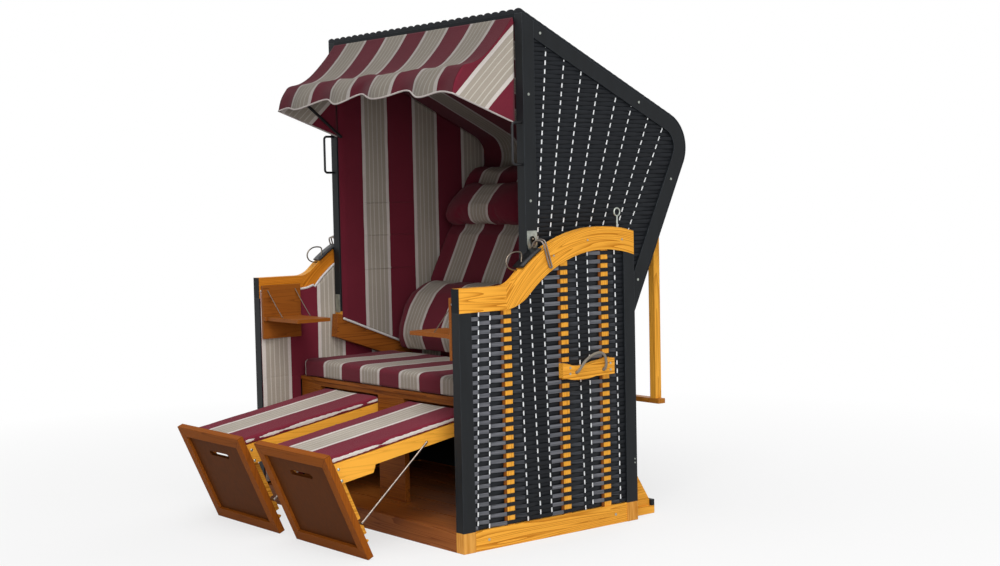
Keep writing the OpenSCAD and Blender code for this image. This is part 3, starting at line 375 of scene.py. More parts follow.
def armrestPaintedShade(tree, place, colour):  # painted shade: black on the front ends, and darker wood on the inner faces, where the armrests lie in shade
    facing = along(tree, add(tree, "NewGeometry").outputs["Normal"], "x")
    outward = calc(tree, "MULTIPLY", along(tree, place, "x"), facing)
    colour = tinted(tree, calc(tree, "LESS_THAN", outward, armrest["facing"]), colour, armrest["innerPaintedShade"])
    return blendColours(tree, below(tree, place, "y", armrest["paintedShadeTo"]), colour, "board")


slatShade = {"slats": (-0.170, 0.055, 0.222), "off": 0.0145, "half": 0.0050}


def slatPaintedShade(tree, place, colour):  # painted shade: the front side of each slat lies in shade and is painted brown
    y = along(tree, place, "y")
    for middle in slatShade["slats"]:
        near = calc(tree, "LESS_THAN", distance(tree, y, middle - slatShade["off"]), slatShade["half"])
        colour = blendColours(tree, near, colour, "goldShade")
    return colour


supportLeg = {"barHalf": 0.43, "inner": 0.4372, "barTop": 0.3565, "share": 0.75}


def supportPaintedShade(tree, place, colour):  # painted shade: the inner faces of the support's legs and its cross bar are painted darker
    inner = nearMiddle(supportLeg["inner"])(tree, place)
    dark = calc(tree, "MAXIMUM", inner, below(tree, place, "z", supportLeg["barTop"]))
    return blendColours(tree, calc(tree, "MULTIPLY", dark, supportLeg["share"]), colour, "brownLight")


def blackFront(tree, place, colour):  # the beam at the roof's front edge is painted
    return blendColours(tree, below(tree, place, "y", -0.012), colour, "board")


frontSill = {"half": 0.5445, "tintAndPaintedLight": (0.34, 0.23, 0.42, 1)}


def brownSill(tree, place, colour):  # what lies between the two bottom side rails is brown
    return tinted(tree, nearMiddle(frontSill["half"])(tree, place), colour, frontSill["tintAndPaintedLight"])


gold, brown = ("goldLight", "goldDark"), ("brownLight", "brownDark")
goldRails = wood("gold_wood_rails", gold, "y", nearMiddle(frontSill["half"]), shading=brownSill)
goldArm = wood("gold_wood_armrest", gold, "y", shading=armrestPaintedShade, bend=alongArmrest)
goldAlong = wood("gold_wood_along", gold)
goldUpright = wood("gold_wood_slats", gold, "z", shading=slatPaintedShade, figure=0.7)
goldSupport = wood("gold_wood_support", gold, "z", nearMiddle(supportLeg["barHalf"]), shading=supportPaintedShade,
                   figure=0.8)
goldShelf = wood("gold_wood_shelf", gold, figure=0.45)
brownAcross = wood("brown_wood_across", brown, "x", figure=0.8)
beamWood = wood("beam_wood", brown, "x", shading=blackFront, figure=0.8)
brownAlong = wood("brown_wood_along", brown, figure=0.8)
brownPanel = wood("brown_wood_panel", ("panelFrame", "brownDark"), "z", onPanelRails, 0.5, panelShading,
                  figure=0.5, specular=0.02)
trayWood = wood("tray_wood", brown, roughness=0.38, figure=0.6)
board = paintedBoard("black_board")
basePost = paintedBoard("black_board_base", 0.060)
hoodPost = paintedBoard("black_board_hood", 0.640)
strip = plasticStrip("black_strip", "strip", "stripLight")
# painted highlight: grey copies of the black strip, one lit and one fading, for pieces of the base weave
litStrip = plasticStrip("lit_strip", "faintStrip", "litStrip", 0.5, 0.2)
faintStrip = plasticStrip("fading_lit_strip", "stripLight", "faintStrip")
dashStrip = plasticStrip("white_strip", "dash", "dash", 0.5, 0.3)
zinc = metal("zinc_steel", "zinc", 0.42)
rodSteel = metal("bright_rod", "rod", 0.38)
wireSteel = metal("grey_wire", "wire", 0.35)
darkSteel = metal("dark_steel", "darkSteel", 0.4, 0.6)
ropeStuff = fibrous("handle_rope", "rope", ropeFibre, roughness=0.85, specular=0.2)
cordStuff = fibrous("tray_cord", "wire", ropeFibre, roughness=0.85, specular=0.2)
blackPlastic = plasticStrip("black_plastic", "plastic", "plastic")
piping = fibrous("white_piping", "piping", pipingFibre, roughness=0.92, specular=0.1, sheen=0.05)
# painted shade: the hem's piping is a greyer, shaded copy of the white piping
hemPiping = fibrous("shaded_hem_piping", "hemPiping", pipingFibre, roughness=0.92, specular=0.1, sheen=0.05)
acrossStripes = stripedCloth("striped_across")
# painted shade darkens the awning and the roof lining, and painted light brightens the base lining and the
# footrests, through their tint
awningStripes = stripedCloth("striped_awning", start=0.0525, pitch=0.2335, share=0.52, tintAndPaintedLight=0.54)
baseStripes = stripedCloth("striped_base_lining", (0, 1, 0), -0.3456, 0.2265, mirrored=False, tintAndPaintedLight=1.25)
hoodStripes = stripedCloth("striped_hood_lining", (0, 1, 0), 0.053, 0.2222, mirrored=False)
pillowStripes = stripedCloth("striped_pillows", start=0.1695, pitch=0.27, share=0.412)
footStripes = stripedCloth("striped_footrests", start=0.1605, pitch=0.2445, mirrored=False, share=0.53,
                           tintAndPaintedLight=1.3)
roofStripes = stripedCloth("striped_roof_lining", tintAndPaintedLight=0.6)

finishes = {
    basePost: ["corner_posts"], hoodPost: ["hood_posts"], goldRails: ["base_rails"], goldArm: ["armrests"],
    goldUpright: ["side_slats"], goldSupport: ["rear_support"], goldAlong: ["handle_boards", "rear_feet"],
    board: ["side_panels", "back_panel", "hood_frames", "hood_panels"], beamWood: ["hood_beams"],
    brownAcross: ["seat_front", "seat_deck", "floor_boards"], brownAlong: ["footrest_runners", "lower_rails"],
    trayWood: ["tray_plates"], blackPlastic: ["rack_strips", "foot_pads"],
    darkSteel: ["grab_handles", "awning_bow"],
    zinc: ["hinge_bolts", "base_screws", "post_plates", "hood_screws", "support_brackets"]}
sideFinishes = {"slide_bar_": zinc, "shelf_frame_": goldShelf, "leg_panel_": brownPanel,
                "leg_battens_": goldAlong, "leg_bail_": rodSteel, "tray_": trayWood, "latch_": darkSteel,
                "lock_pin_": zinc}


def finish(name, material):
    nodes[name].data.materials.clear()
    nodes[name].data.materials.append(material)


for material, names in finishes.items():
    for name in names:
        finish(name, material)
for start, material in sideFinishes.items():
    for sideName, side in sides:
        finish(start + sideName, material)
print("materials made")


class Patch:  # gathers points and faces of one piece
    def __init__(self):
        self.points, self.faces, self.tags = [], [], []

    def grid(self, columns, tag=0, around=False):
        first, high = len(self.points), len(columns[0])
        for column in columns:
            self.points += [tuple(p) for p in column]
        last = high if around else high - 1
        for i in range(len(columns) - 1):
            for j in range(last):
                a, b = first + i*high + j, first + i*high + (j + 1) % high
                self.faces.append((a, b, b + high, a + high))
                self.tags.append(tag(i, j) if callable(tag) else tag)

    def sheet(self, outer, inner, tag=0):  # two skins and the four rims between them
        self.grid(outer, tag)
        self.grid(inner, tag)
        for end in (0, -1):
            self.grid([outer[end], inner[end]], tag)
        for end in (0, -1):
            self.grid([[o[end], i[end]] for o, i in zip(outer, inner)], tag)

    def tube(self, path, radius, tag=0, sides=8, lobes=0, twist=0.0, depth=0.0):
        path = [Vector(p) for p in path]
        rings, lean, travelled = [], None, 0.0
        for i, point in enumerate(path):
            ahead = (path[min(i + 1, len(path) - 1)] - path[max(i - 1, 0)]).normalized()
            if lean is None:
                lean = ahead.orthogonal().normalized()
            lean = (lean - ahead*lean.dot(ahead)).normalized()
            other = ahead.cross(lean)
            travelled += (point - path[i - 1]).length if i else 0
            ring = []
            for k in range(sides):
                angle = 2*pi*k/sides
                wide = radius
                if lobes:
                    wide = radius*(1 - depth + depth*abs(cos(lobes/2*(angle - twist*travelled))))
                ring.append(point + wide*(cos(angle)*lean + sin(angle)*other))
            rings.append(ring)
        first = len(self.points)
        self.grid(rings, tag, True)
        last = first + (len(rings) - 1)*sides
        self.faces += [tuple(first + k for k in range(sides))[::-1], tuple(last + k for k in range(sides))]
        self.tags += [tag, tag]

    def piece(self, name, body, materials, smooth=True, slot=None):
        mesh = bpy.data.meshes.new(name)
        mesh.from_pydata(self.points, [], self.faces)
        for material in materials:
            mesh.materials.append(material)
        mesh.polygons.foreach_set("material_index", self.tags)
        mesh.polygons.foreach_set("use_smooth", [smooth]*len(self.faces))
        mesh.update()
        made = placed(name, mesh)
        if body:
            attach(made, body)
        return made


def splinePoint(points, i, t):
    a, b, c, d = points[max(i - 1, 0)], points[i], points[i + 1], points[min(i + 2, len(points) - 1)]
    return 0.5*(2*b + (c - a)*t + (2*a - 5*b + 4*c - d)*t*t + (3*b - a - 3*c + d)*t**3)


def curveThrough(points, steps):
    points = [Vector(p) for p in points]
    smooth = [splinePoint(points, i, k/steps) for i in range(len(points) - 1) for k in range(steps)]
    return smooth + [points[-1]]


def lengthOf(path):
    return sum((b - a).length for a, b in zip(path, path[1:]))


def mirroredX(points, side):
    return [Vector((side*p[0], p[1], p[2])) for p in points]


def ease(t):
    t = min(max(t, 0), 1)
    return t*t*(3 - 2*t)


def wobbly(place, scale, size):
    return size*noise.noise(Vector(place)*scale)


handleRope = {"diameter": 0.009, "strands": 3, "twist": 330.0, "depth": 0.22, "route": [
    (0.590, 0.085, 0.495), (0.602, 0.085, 0.497), (0.610, 0.093, 0.512), (0.611, 0.112, 0.531),
    (0.611, 0.140, 0.545), (0.611, 0.168, 0.550), (0.611, 0.188, 0.540), (0.610, 0.196, 0.516),
    (0.602, 0.197, 0.497), (0.590, 0.197, 0.495)]}
trayCord = {"diameter": 0.003, "strands": 2, "twist": 700.0, "depth": 0.2,
            "along": {"front": -0.328, "rear": -0.218},
            "route": ((0.5249, 0.729), (0.470, 0.675), (0.430, 0.63812))}


def twisted(name, cord, path, steps, around, body, material, slot):
    patch = Patch()
    lay = (cord["strands"], cord["twist"], cord["depth"])
    patch.tube(curveThrough(path, steps), cord["diameter"]/2, 0, around, *lay)
    return patch.piece(name, body, [material], slot=slot)


for sideName, side in sides:
    path = curveThrough(mirroredX(handleRope["route"], side), 3)
    rope = twisted("handle_rope_" + sideName, handleRope, path, 6, 18, "base", ropeStuff, "black_rope")
    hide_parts("handle_ropes")
    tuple(path[0])
    lengthOf(path)
    for where, y in trayCord["along"].items():
        path = curveThrough(mirroredX([(x, y, z) for x, z in trayCord["route"]], side), 10)
        name = "tray_cord_" + where + "_" + sideName
        cord = twisted(name, trayCord, path, 3, 10, None, cordStuff, "white_cord")
        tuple(path[0])
        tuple(path[-1])
        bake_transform(cord)
        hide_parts("tray_cords_" + sideName)
        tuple(path[0])
        lengthOf(path)
print("ropes and cords laid")

# the outlines in side view that the weave and the linings follow
hoodShape = {"front": -0.050, "top": 1.599, "pitch": radians(25.9), "lean": radians(26), "heel": 0.0705,
             "nose": 0.122, "sill": 0.630, "fall": radians(21.7), "halfWidth": 0.530}
armShape = {"flat": 0.772, "bend": (-0.18580, 0.852), "bendRadius": 0.080, "arc": 0.499}


def roofHeight(y, inset):
    return hoodShape["top"] - inset/cos(hoodShape["pitch"]) - (y - hoodShape["front"])*tan(hoodShape["pitch"])


def backPlace(z, inset):
    return hingeY + (hoodShape["heel"] - inset)/cos(hoodShape["lean"]) + (z - hingeZ)*tan(hoodShape["lean"])


def noseCentre():
    radius, pitch, lean = hoodShape["nose"], hoodShape["pitch"], hoodShape["lean"]
    b = backPlace(0, radius)
    z = (roofHeight(0, radius) - b*tan(pitch))/(1 + tan(lean)*tan(pitch))
    return b + z*tan(lean), z


noseY, noseZ = noseCentre()


def railHeight(y):
    return hoodShape["sill"] - (y - hoodShape["front"])*tan(hoodShape["fall"])


def shellPlace(travel, inset, low):  # a point along roof, nose and back; travel runs from 0 to 1
    radius = hoodShape["nose"] - inset
    first, last = pi/2 - hoodShape["pitch"], -hoodShape["lean"]
    roofEnd, backTop = (Vector((noseY + radius*cos(a), noseZ + radius*sin(a))) for a in (first, last))
    front = Vector((hoodShape["front"], roofHeight(hoodShape["front"], inset)))
    roof, back = roofEnd - front, Vector((backPlace(low, inset), low)) - backTop
    bend = hoodShape["nose"]*(first - last)
    at = travel*(roof.length + bend + back.length)
    if at <= roof.length:
        return front + roof*(at/roof.length)
    if at <= roof.length + bend:
        angle = first + (last - first)*(at - roof.length)/bend
        return Vector((noseY + radius*cos(angle), noseZ + radius*sin(angle)))
    return backTop + back*((at - roof.length - bend)/back.length)


def hoodRear(z, inset):  # the rear end of a level line in the hood's side view
    radius, pitch = hoodShape["nose"] - inset, hoodShape["pitch"]
    if z > noseZ + radius*cos(pitch):
        return hoodShape["front"] + (hoodShape["top"] - inset/cos(pitch) - z)/tan(pitch)
    if z > noseZ - radius*sin(hoodShape["lean"]):
        return noseY + sqrt(max(radius**2 - (z - noseZ)**2, 0))
    return backPlace(z, inset)


def armHeight(y, inset):
    bendY, bendZ = armShape["bend"]
    if y < bendY:
        return armShape["flat"] - inset
    if y < hingeY + armShape["arc"]*cos(atan2(bendZ - hingeZ, bendY - hingeY)):
        return bendZ - sqrt(max((armShape["bendRadius"] + inset)**2 - (y - bendY)**2, 0))
    return hingeZ + sqrt((armShape["arc"] - inset)**2 - (y - hingeY)**2)


weave = {"rowHeight": 0.0133, "stripHeight": 0.0122, "crown": 0.0008, "rim": 0.0004, "sample": 0.006,
         "knotHalf": 0.003, "whiteHalf": 0.0024, "whiteCrown": 0.0006}


def wovenRow(patch, height, y0, y1, knots, place, tagAt=None):  # a knot: its place, half width and lift
    count = max(int((y1 - y0)/weave["sample"]), 2)
    half, crown, rim = weave["stripHeight"]/2, weave["crown"], weave["rim"]
    columns, tags = [], []
    for y in spread(y0, y1, count):
        before = [k for k in knots if k[0] <= y]
        after = [k for k in knots if k[0] > y]
        a = before[-1] if before else (y0 - 0.03, 0.002, 0.0)
        b = after[0] if after else (y1 + 0.03, 0.002, 0.0)
        span = (b[0] - b[1]) - (a[0] + a[1])
        t = ease((y - a[0] - a[1])/span) if span > 0 else 0.5
        out = a[2] + (b[2] - a[2])*t
        tags.append(tagAt(y + 0.5*(y1 - y0)/count) if tagAt else 0)
        columns.append([place(y, height - half, out - rim), place(y, height - 0.6*half, out + crown),
                        place(y, height + 0.6*half, out + crown), place(y, height + half, out - rim)])
    patch.grid(columns, lambda i, j: tags[i])


def whiteStrip(patch, side, face, line):  # a thin upright along pairs of y and z
    half, crown = weave["whiteHalf"], weave["whiteCrown"]
    across = ((-half, 0), (-half*0.5, crown), (half*0.5, crown), (half, 0))
    patch.grid([[(side*(face + bulge), y + off, z) for y, z in line] for off, bulge in across], 1)


# each upright: place at half height, kind, whether the odd rows pass behind it, and how far it leans;
# a slat and a white strip each have their lift and half width
baseWeave = {"face": 0.572, "low": 0.0619, "high": 0.87, "rowHeight": 0.013325, "halfDepth": 0.305,
             "armInset": 0.071, "armOverlap": 0.030, "middle": 0.5, "step": 0.002,
             "uprights": ((-0.2775, "white", 1, 0.029), (-0.2349, "white", 0, 0.029), (-0.170, "slat", 1, 0),
                          (-0.1113, "white", 0, -0.030), (-0.0649, "white", 1, -0.038),
                          (-0.0169, "white", 1, -0.030), (0.055, "slat", 1, 0), (0.1219, "white", 0, -0.029),
                          (0.1614, "white", 1, -0.009), (0.222, "slat", 0, 0), (0.2771, "white", 1, -0.0145)),
             "slat": (0.0040, 0.016), "white": (0.0024, 0.003), "whiteLow": 0.0615, "whiteOver": 0.02}


def weaveBaseSide(sideName, side):
    patch = Patch()
    half, middle, uprights = baseWeave["halfDepth"], baseWeave["middle"], baseWeave["uprights"]
    ys = [-half + baseWeave["step"]*i for i in range(int(2*half/baseWeave["step"]) + 1)]

    def place(y, z, out):
        return side*(baseWeave["face"] + out), y, z

    for row in range(int((baseWeave["high"] - baseWeave["low"])/baseWeave["rowHeight"])):
        height = baseWeave["low"] + (row + 0.5)*baseWeave["rowHeight"]
        inside = [y for y in ys if armHeight(y, baseWeave["armInset"]) + baseWeave["armOverlap"] > height]
        if len(inside) < 4:
            continue
        knots, spans = [], []
        for index, (y, kind, behind, lean) in enumerate(uprights):
            over = (row % 2 == 1) != (behind == 1)
            at = y + lean*(height - middle)
            lift, wide = baseWeave[kind]
            before = knots[-1][0] + knots[-1][1] if knots else -half
            # painted highlight: where a row passes over a slat or one of the first two white strips, the
            # piece before it is painted lit grey, and the piece after a slat a fainter lit grey
            if over and (kind == "slat" or index < 2):
                spans.append((before, at - wide, 2))
            if over and index and uprights[index - 1][1] == "slat":
                spans.append((before + 0.004, at - wide - 0.006, 3))
            knots.append((at, wide, lift if over else -lift))

        def tagAt(y):
            return next((tag for a, b, tag in spans if a <= y <= b), 0)

        wovenRow(patch, height, inside[0], inside[-1], knots, place, tagAt)
    for y, kind, behind, lean in uprights:
        if kind == "white":
            top = armHeight(y, baseWeave["armInset"]) + baseWeave["whiteOver"]
            line = [(y + lean*(z - middle), z) for z in (baseWeave["whiteLow"], top)]
            whiteStrip(patch, side, baseWeave["face"], line)
    strips = [strip, dashStrip, litStrip, faintStrip]
    made = patch.piece("base_weave_" + sideName, "base", strips, slot="weave")
    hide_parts("side_weave")


# each fan upright: its y and z at one point, and its slope
hoodWeave = {"face": 0.5225, "lift": 0.0021, "inset": 0.045, "low": 0.50, "high": 1.56, "front": -0.015,
             "under": 0.02, "lastGap": 0.055, "fanLow": 0.52, "fanStep": 0.0026, "fanSteps": 400, "every": 6,
             "fan": [(0.002, 0.910, 0.082), (0.050, 0.902, 0.131), (0.102, 0.923, 0.182),
                     (0.158, 0.933, 0.233), (0.219, 0.944, 0.299), (0.272, 0.936, 0.352),
                     (0.338, 0.937, 0.411), (0.386, 0.927, 0.490)]}


def weaveHoodSide(sideName, side):
    patch = Patch()
    inset, low = hoodWeave["inset"], hoodWeave["low"]

    def place(y, z, out):
        return side*(hoodWeave["face"] + out), y, z

    for row in range(int((hoodWeave["high"] - low)/weave["rowHeight"])):
        height = low + (row + 0.5)*weave["rowHeight"]
        rear = hoodRear(height, inset)
        slant = hoodShape["front"] + (hoodShape["sill"] - hoodWeave["under"] - height)/tan(hoodShape["fall"])
        front = max(hoodWeave["front"], slant)
        if rear - front < 0.02:
            continue
        knots = []
        for index, (y, z, slope) in enumerate(hoodWeave["fan"]):
            over = 1 if (row + index) % 2 else -1
            knots.append((y + slope*(height - z), weave["knotHalf"], over*hoodWeave["lift"]))
        last = knots[-1]
        knots.append((last[0] + hoodWeave["lastGap"], weave["knotHalf"], -last[2]))
        wovenRow(patch, height, front, rear, knots, place)
    for y, z, slope in hoodWeave["fan"]:
        line = []
        for i in range(hoodWeave["fanSteps"]):
            height = hoodWeave["fanLow"] + hoodWeave["fanStep"]*i
            at = y + slope*(height - z)
            if railHeight(at) - 0.01 < height and at < hoodRear(height, inset) - 0.002:
                line.append((at, height))
        whiteStrip(patch, side, hoodWeave["face"], line[::hoodWeave["every"]] + line[-1:])
    made = patch.piece("hood_weave_" + sideName, "hood", [strip, dashStrip], slot="weave")
    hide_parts("hood_weave")


roofWeave = {"ridges": 29, "ridgeHeight": 0.006, "round": 0.6, "thickness": 0.0137, "low": 0.441,
             "perRidge": 8, "step": 0.0066, "lift": 0.0011, "between": 0.35}


def weaveRoof():
    patch = Patch()
    low, perRidge, half = roofWeave["low"], roofWeave["perRidge"], hoodShape["halfWidth"]
    rows = int(lengthOf([shellPlace(travel, 0, low) for travel in spread(0, 1, 200)])/roofWeave["step"])
    pitch = 2*half/roofWeave["ridges"]
    inside = [shellPlace(j/rows, roofWeave["thickness"], low) for j in range(rows + 1)]
    outer, inner = [], []
    for i in range(roofWeave["ridges"]*perRidge + 1):
        x = -half + pitch*i/perRidge
        phase = (i/perRidge) % 1
        ridge = sin(pi*phase)**roofWeave["round"] if phase else 0
        column = []
        for j in range(rows + 1):
            over = cos(pi*(j//2 + i//perRidge))*(1 if j % 2 else roofWeave["between"])
            inset = roofWeave["ridgeHeight"]*(1 - ridge) - roofWeave["lift"]*(over - 1)*ridge
            column.append((x, *shellPlace(j/rows, max(inset, 0.0), low)))
        outer.append(column)
        inner.append([(x, *inside[0]), (x, *inside[-1])])
    patch.grid(outer)
    for end in (0, -1):
        patch.grid([[o[end], i[end]] for o, i in zip(outer, inner)])
    for column in (outer[0], outer[-1]):
        patch.grid([column, [(column[0][0], *p) for p in inside]])
    made = patch.piece("roof_weave", "hood", [strip], slot="weave")
    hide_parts("roof_shell")


backWeave = {"face": 0.3430, "low": 0.064, "high": 0.338, "half": 0.545, "spacing": 0.0545, "lift": 0.0015}


def weaveBaseBack():
    patch = Patch()
    half, spacing = backWeave["half"], backWeave["spacing"]
    uprights = [-half + spacing*(i + 0.5) for i in range(int(2*half/spacing))]

    def place(x, z, out):
        return x, backWeave["face"] + out, z

    for row in range(int((backWeave["high"] - backWeave["low"])/weave["rowHeight"])):
        height = backWeave["low"] + (row + 0.5)*weave["rowHeight"]
        lifts = [backWeave["lift"]*(1 if (row + i) % 2 else -1) for i in range(len(uprights))]
        knots = [(x, weave["knotHalf"], lift) for x, lift in zip(uprights, lifts)]
        wovenRow(patch, height, -half, half, knots, place)
    patch.piece("back_weave", "base", [strip], slot="weave")


# the lock of the hood: a strap on the armrest, a plate at its pivot, a rod hook and a wire loop, in side view
latch = {"radius": 0.503, "thick": 0.004, "from": 119.5, "to": 130.0, "steps": 14, "inner": 0.5323,
         "outer": 0.5783, "loopX": 0.552, "rod": 0.0026, "wire": 0.0024, "pivot": (-0.028, 0.905),
         "pin": (0.5165, 0.5380, 0.003),
         "plate": ((-0.0270, 0.8785), (-0.0370, 0.9030), (-0.0340, 0.9120), (-0.0260, 0.9140),
                   (-0.0190, 0.9050), (-0.0297, 0.8748)),
         "hook": ((0.5400, -0.0360, 0.8790), (0.5480, -0.0350, 0.8950), (0.5620, -0.0340, 0.9010),
                  (0.5780, -0.0340, 0.9000), (0.5870, -0.0320, 0.8920), (0.5880, -0.0230, 0.8640),
                  (0.5880, -0.0110, 0.8260), (0.5880, -0.0060, 0.8185), (0.5880, 0.0010, 0.8210),
                  (0.5880, -0.0020, 0.8290), (0.5880, -0.0140, 0.8670), (0.5870, -0.0230, 0.8950),
                  (0.5780, -0.0250, 0.9030), (0.5620, -0.0250, 0.9040), (0.5480, -0.0260, 0.8980),
                  (0.5400, -0.0270, 0.8840)),
         "loop": ((-0.0900, 0.8330), (-0.0880, 0.8620), (-0.0990, 0.8690), (-0.1220, 0.8680),
                  (-0.1410, 0.8570), (-0.1480, 0.8400), (-0.1400, 0.8240), (-0.1200, 0.8160),
                  (-0.0960, 0.8170), (-0.0890, 0.8290))}


def makeLatch(sideName, side):
    patch = Patch()
    inner, outer, thick, steps = latch["inner"], latch["outer"], latch["thick"], latch["steps"]

    def strapPoint(x, degrees, out):
        angle, reach = radians(degrees), latch["radius"] + out
        return side*x, hingeY + reach*cos(angle), hingeZ + reach*sin(angle)

    profile = ((inner, 0), (outer, 0), (outer, thick), (inner, thick))
    angles = spread(latch["from"], latch["to"], steps)
    patch.grid([[strapPoint(x, angle, out) for x, out in profile] for angle in angles], 0, True)
    patch.faces += [(0, 1, 2, 3), tuple(4*steps + k for k in (3, 2, 1, 0))]
    first, count = len(patch.points), len(latch["plate"])
    for x in (inner, inner + thick):
        patch.points += [(side*x, y, z) for y, z in latch["plate"]]
    near, far = (tuple(start + k for k in range(count)) for start in (first, first + count))
    patch.faces += [near, far[::-1]]
    patch.faces += [(near[k], near[(k + 1) % count], far[(k + 1) % count], far[k]) for k in range(count)]
    patch.tags += [0]*(count + 4)
    x0, x1, radius = latch["pin"]
    patch.tube([(side*x, *latch["pivot"]) for x in (x0, x1)], radius, 2, sides=12)
    patch.tube(curveThrough(mirroredX(latch["hook"], side), 5), latch["rod"], 1, sides=10)
    loop = [(side*latch["loopX"], y, z) for y, z in latch["loop"]]
    patch.tube(curveThrough(loop, 5), latch["wire"], 2)
    steels = [darkSteel, rodSteel, wireSteel]
    made = patch.piece("latch_detail_" + sideName, "latch_body_" + sideName, steels, slot="dark_steel")
    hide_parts("latch_" + sideName)


for sideName, side in sides:
    weaveBaseSide(sideName, side)
    weaveHoodSide(sideName, side)
    makeLatch(sideName, side)
weaveRoof()
weaveBaseBack()
print("weave made")

liningSkin = {"rimShare": 0.45, "rim": 0.02, "under": 0.0012, "uneven": (9.0, 0.0012)}


def levelSheet(patch, grid, low, high, frontOf, rearOf, lining, side):
    rows, columns = grid
    face, thick, rimShare = lining["face"], lining["thick"], liningSkin["rimShare"]
    outer, inner = [], []
    spans = [(z, frontOf(z), rearOf(z)) for z in spread(low, high, rows)]
    for u in spread(0, 1, columns):
        front, back = [], []
        for z, fore, rear in spans:
            y = fore + (rear - fore)*u
            rim = min(min(u, 1 - u)*(rear - fore), high - z, z - low)
            puff = thick*(rimShare + (1 - rimShare)*ease(rim/liningSkin["rim"])) - liningSkin["under"]
            puff += wobbly((0, y, z), *liningSkin["uneven"])
            front.append((side*(face - puff), y, z))
            back.append((side*face, y, z))
        outer.append(front)
        inner.append(back)
    patch.sheet(outer, inner)


def finishLining(patch, name, body, materials, node):
    made = patch.piece(name, body, materials, slot="striped_cloth")
    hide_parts(node)


baseLining = {"face": 0.545, "thick": 0.0068, "low": 0.411, "front": -0.346, "rear": 0.305, "inset": 0.046,
              "piping": 0.0042, "pipingOut": 0.55, "footLow": 0.066, "footRear": -0.194, "overlap": 0.030,
              "grid": (90, 60), "footGrid": (40, 20)}


def lineBase(sideName, side):
    patch = Patch()
    inset, low, start, end = (baseLining[key] for key in ("inset", "low", "front", "rear"))
    high = armHeight(hingeY, inset)

    def frontOf(z):
        if z <= armShape["flat"] - inset:
            return start
        ys = [start + 0.002*i for i in range(400)]
        return next((y for y in ys if armHeight(y, inset) >= z), end)

    def rearOf(z):
        radius = armShape["arc"] - inset
        reach = hingeY + sqrt(max(radius**2 - (z - hingeZ)**2, 0))
        return max(min(end, reach), frontOf(z))

    levelSheet(patch, baseLining["grid"], low, high - 0.001, frontOf, rearOf, baseLining, side)
    levelSheet(patch, baseLining["footGrid"], baseLining["footLow"], low + baseLining["overlap"],
               lambda z: start, lambda z: baseLining["footRear"], baseLining, side)
    x = side*(baseLining["face"] - baseLining["thick"]*baseLining["pipingOut"])
    patch.tube([(x, y, armHeight(y, inset)) for y in spread(start, end, 80)], baseLining["piping"], 1)
    finishLining(patch, "base_lining_" + sideName, "base", [baseStripes, piping], "side_linings")


hoodLining = {"face": 0.4948, "thick": 0.0070, "inset": 0.0345, "front": -0.044, "low": 0.512, "under": 0.012,
              "grid": (130, 70), "piping": 0.0042, "pipingOut": 0.7, "slantTop": 0.6155,
              "seams": (0.785, 0.905, 1.02), "pocket": (0.055, 0.27), "seam": 0.0013, "seamOut": 0.0004}


def lineHoodSide(sideName, side):
    patch = Patch()
    inset, face, thick, low = (hoodLining[key] for key in ("inset", "face", "thick", "low"))

    def frontOf(z):
        slant = hoodShape["front"] + (hoodShape["sill"] - hoodLining["under"] - z)/tan(hoodShape["fall"])
        return max(hoodLining["front"], slant)

    def rearOf(z):
        return max(hoodRear(z, inset), frontOf(z))

    high = roofHeight(hoodLining["front"], inset) - 0.002
    levelSheet(patch, hoodLining["grid"], low, high, frontOf, rearOf, hoodLining, side)
    x = side*(face - thick*hoodLining["pipingOut"])
    edge = [(x, frontOf(z), z) for z in spread(low, hoodLining["slantTop"], 60)]
    patch.tube(edge, hoodLining["piping"], 1)
    for z in hoodLining["seams"]:  # the stitched mouths of the pockets
        skin = [(y, face - thick - hoodLining["seamOut"] + wobbly((0, y, z), *liningSkin["uneven"]))
                for y in spread(*hoodLining["pocket"], 24)]
        patch.tube([(side*x, y, z) for y, x in skin], hoodLining["seam"], sides=6)
    finishLining(patch, "hood_side_lining_" + sideName, "hood", [hoodStripes, piping], "hood_linings")


roofLining = {"half": 0.4877, "puff": 0.00286, "inset": 0.0343, "low": 0.470, "from": 0.001, "to": 0.993,
              "sag": 0.0025, "sagTo": 0.36, "columns": 120, "rows": 140, "uneven": (5.0, 0.0010)}


def lineRoof():
    patch = Patch()
    half, inset, low = roofLining["half"], roofLining["inset"], roofLining["low"]
    outer, inner = [], []
    for x in spread(-half, half, roofLining["columns"]):
        front, back = [], []
        for t in spread(roofLining["from"], roofLining["to"], roofLining["rows"]):
            sag = roofLining["sag"]*sin(pi*min(t/roofLining["sagTo"], 1))*(1 - (x/half)**4)
            puff = roofLining["puff"] + sag + wobbly((x, t*3, 0), *roofLining["uneven"])
            front.append((x, *shellPlace(t, inset + puff, low)))
            back.append((x, *shellPlace(t, inset, low)))
        outer.append(front)
        inner.append(back)
    patch.sheet(outer, inner)
    finishLining(patch, "roof_lining", "hood", [roofStripes], "hood_linings")


for sideName, side in sides:
    lineBase(sideName, side)
    lineHoodSide(sideName, side)
lineRoof()
print("linings made")


def applyModifiers(piece):
    evaluated = piece.evaluated_get(bpy.context.evaluated_depsgraph_get())
    mesh = bpy.data.meshes.new_from_object(evaluated)
    piece.modifiers.clear()
    piece.data = mesh


def remeshed(piece, shape, voxel):
    shape.to_mesh(piece.data)
    shape.free()
    remesh = piece.modifiers.new("remesh", "REMESH")
    remesh.mode, remesh.voxel_size, remesh.use_smooth_shade = "VOXEL", voxel, True
    applyModifiers(piece)
    return piece


def creased(piece, rule):  # moves each point by what the rule gives for its place and normal
    before = [(v.co.copy(), v.normal.copy()) for v in piece.data.vertices]
    moved = [place + rule(place, normal) for place, normal in before]
    piece.data.vertices.foreach_set("co", [c for place in moved for c in place])
    piece.data.update()


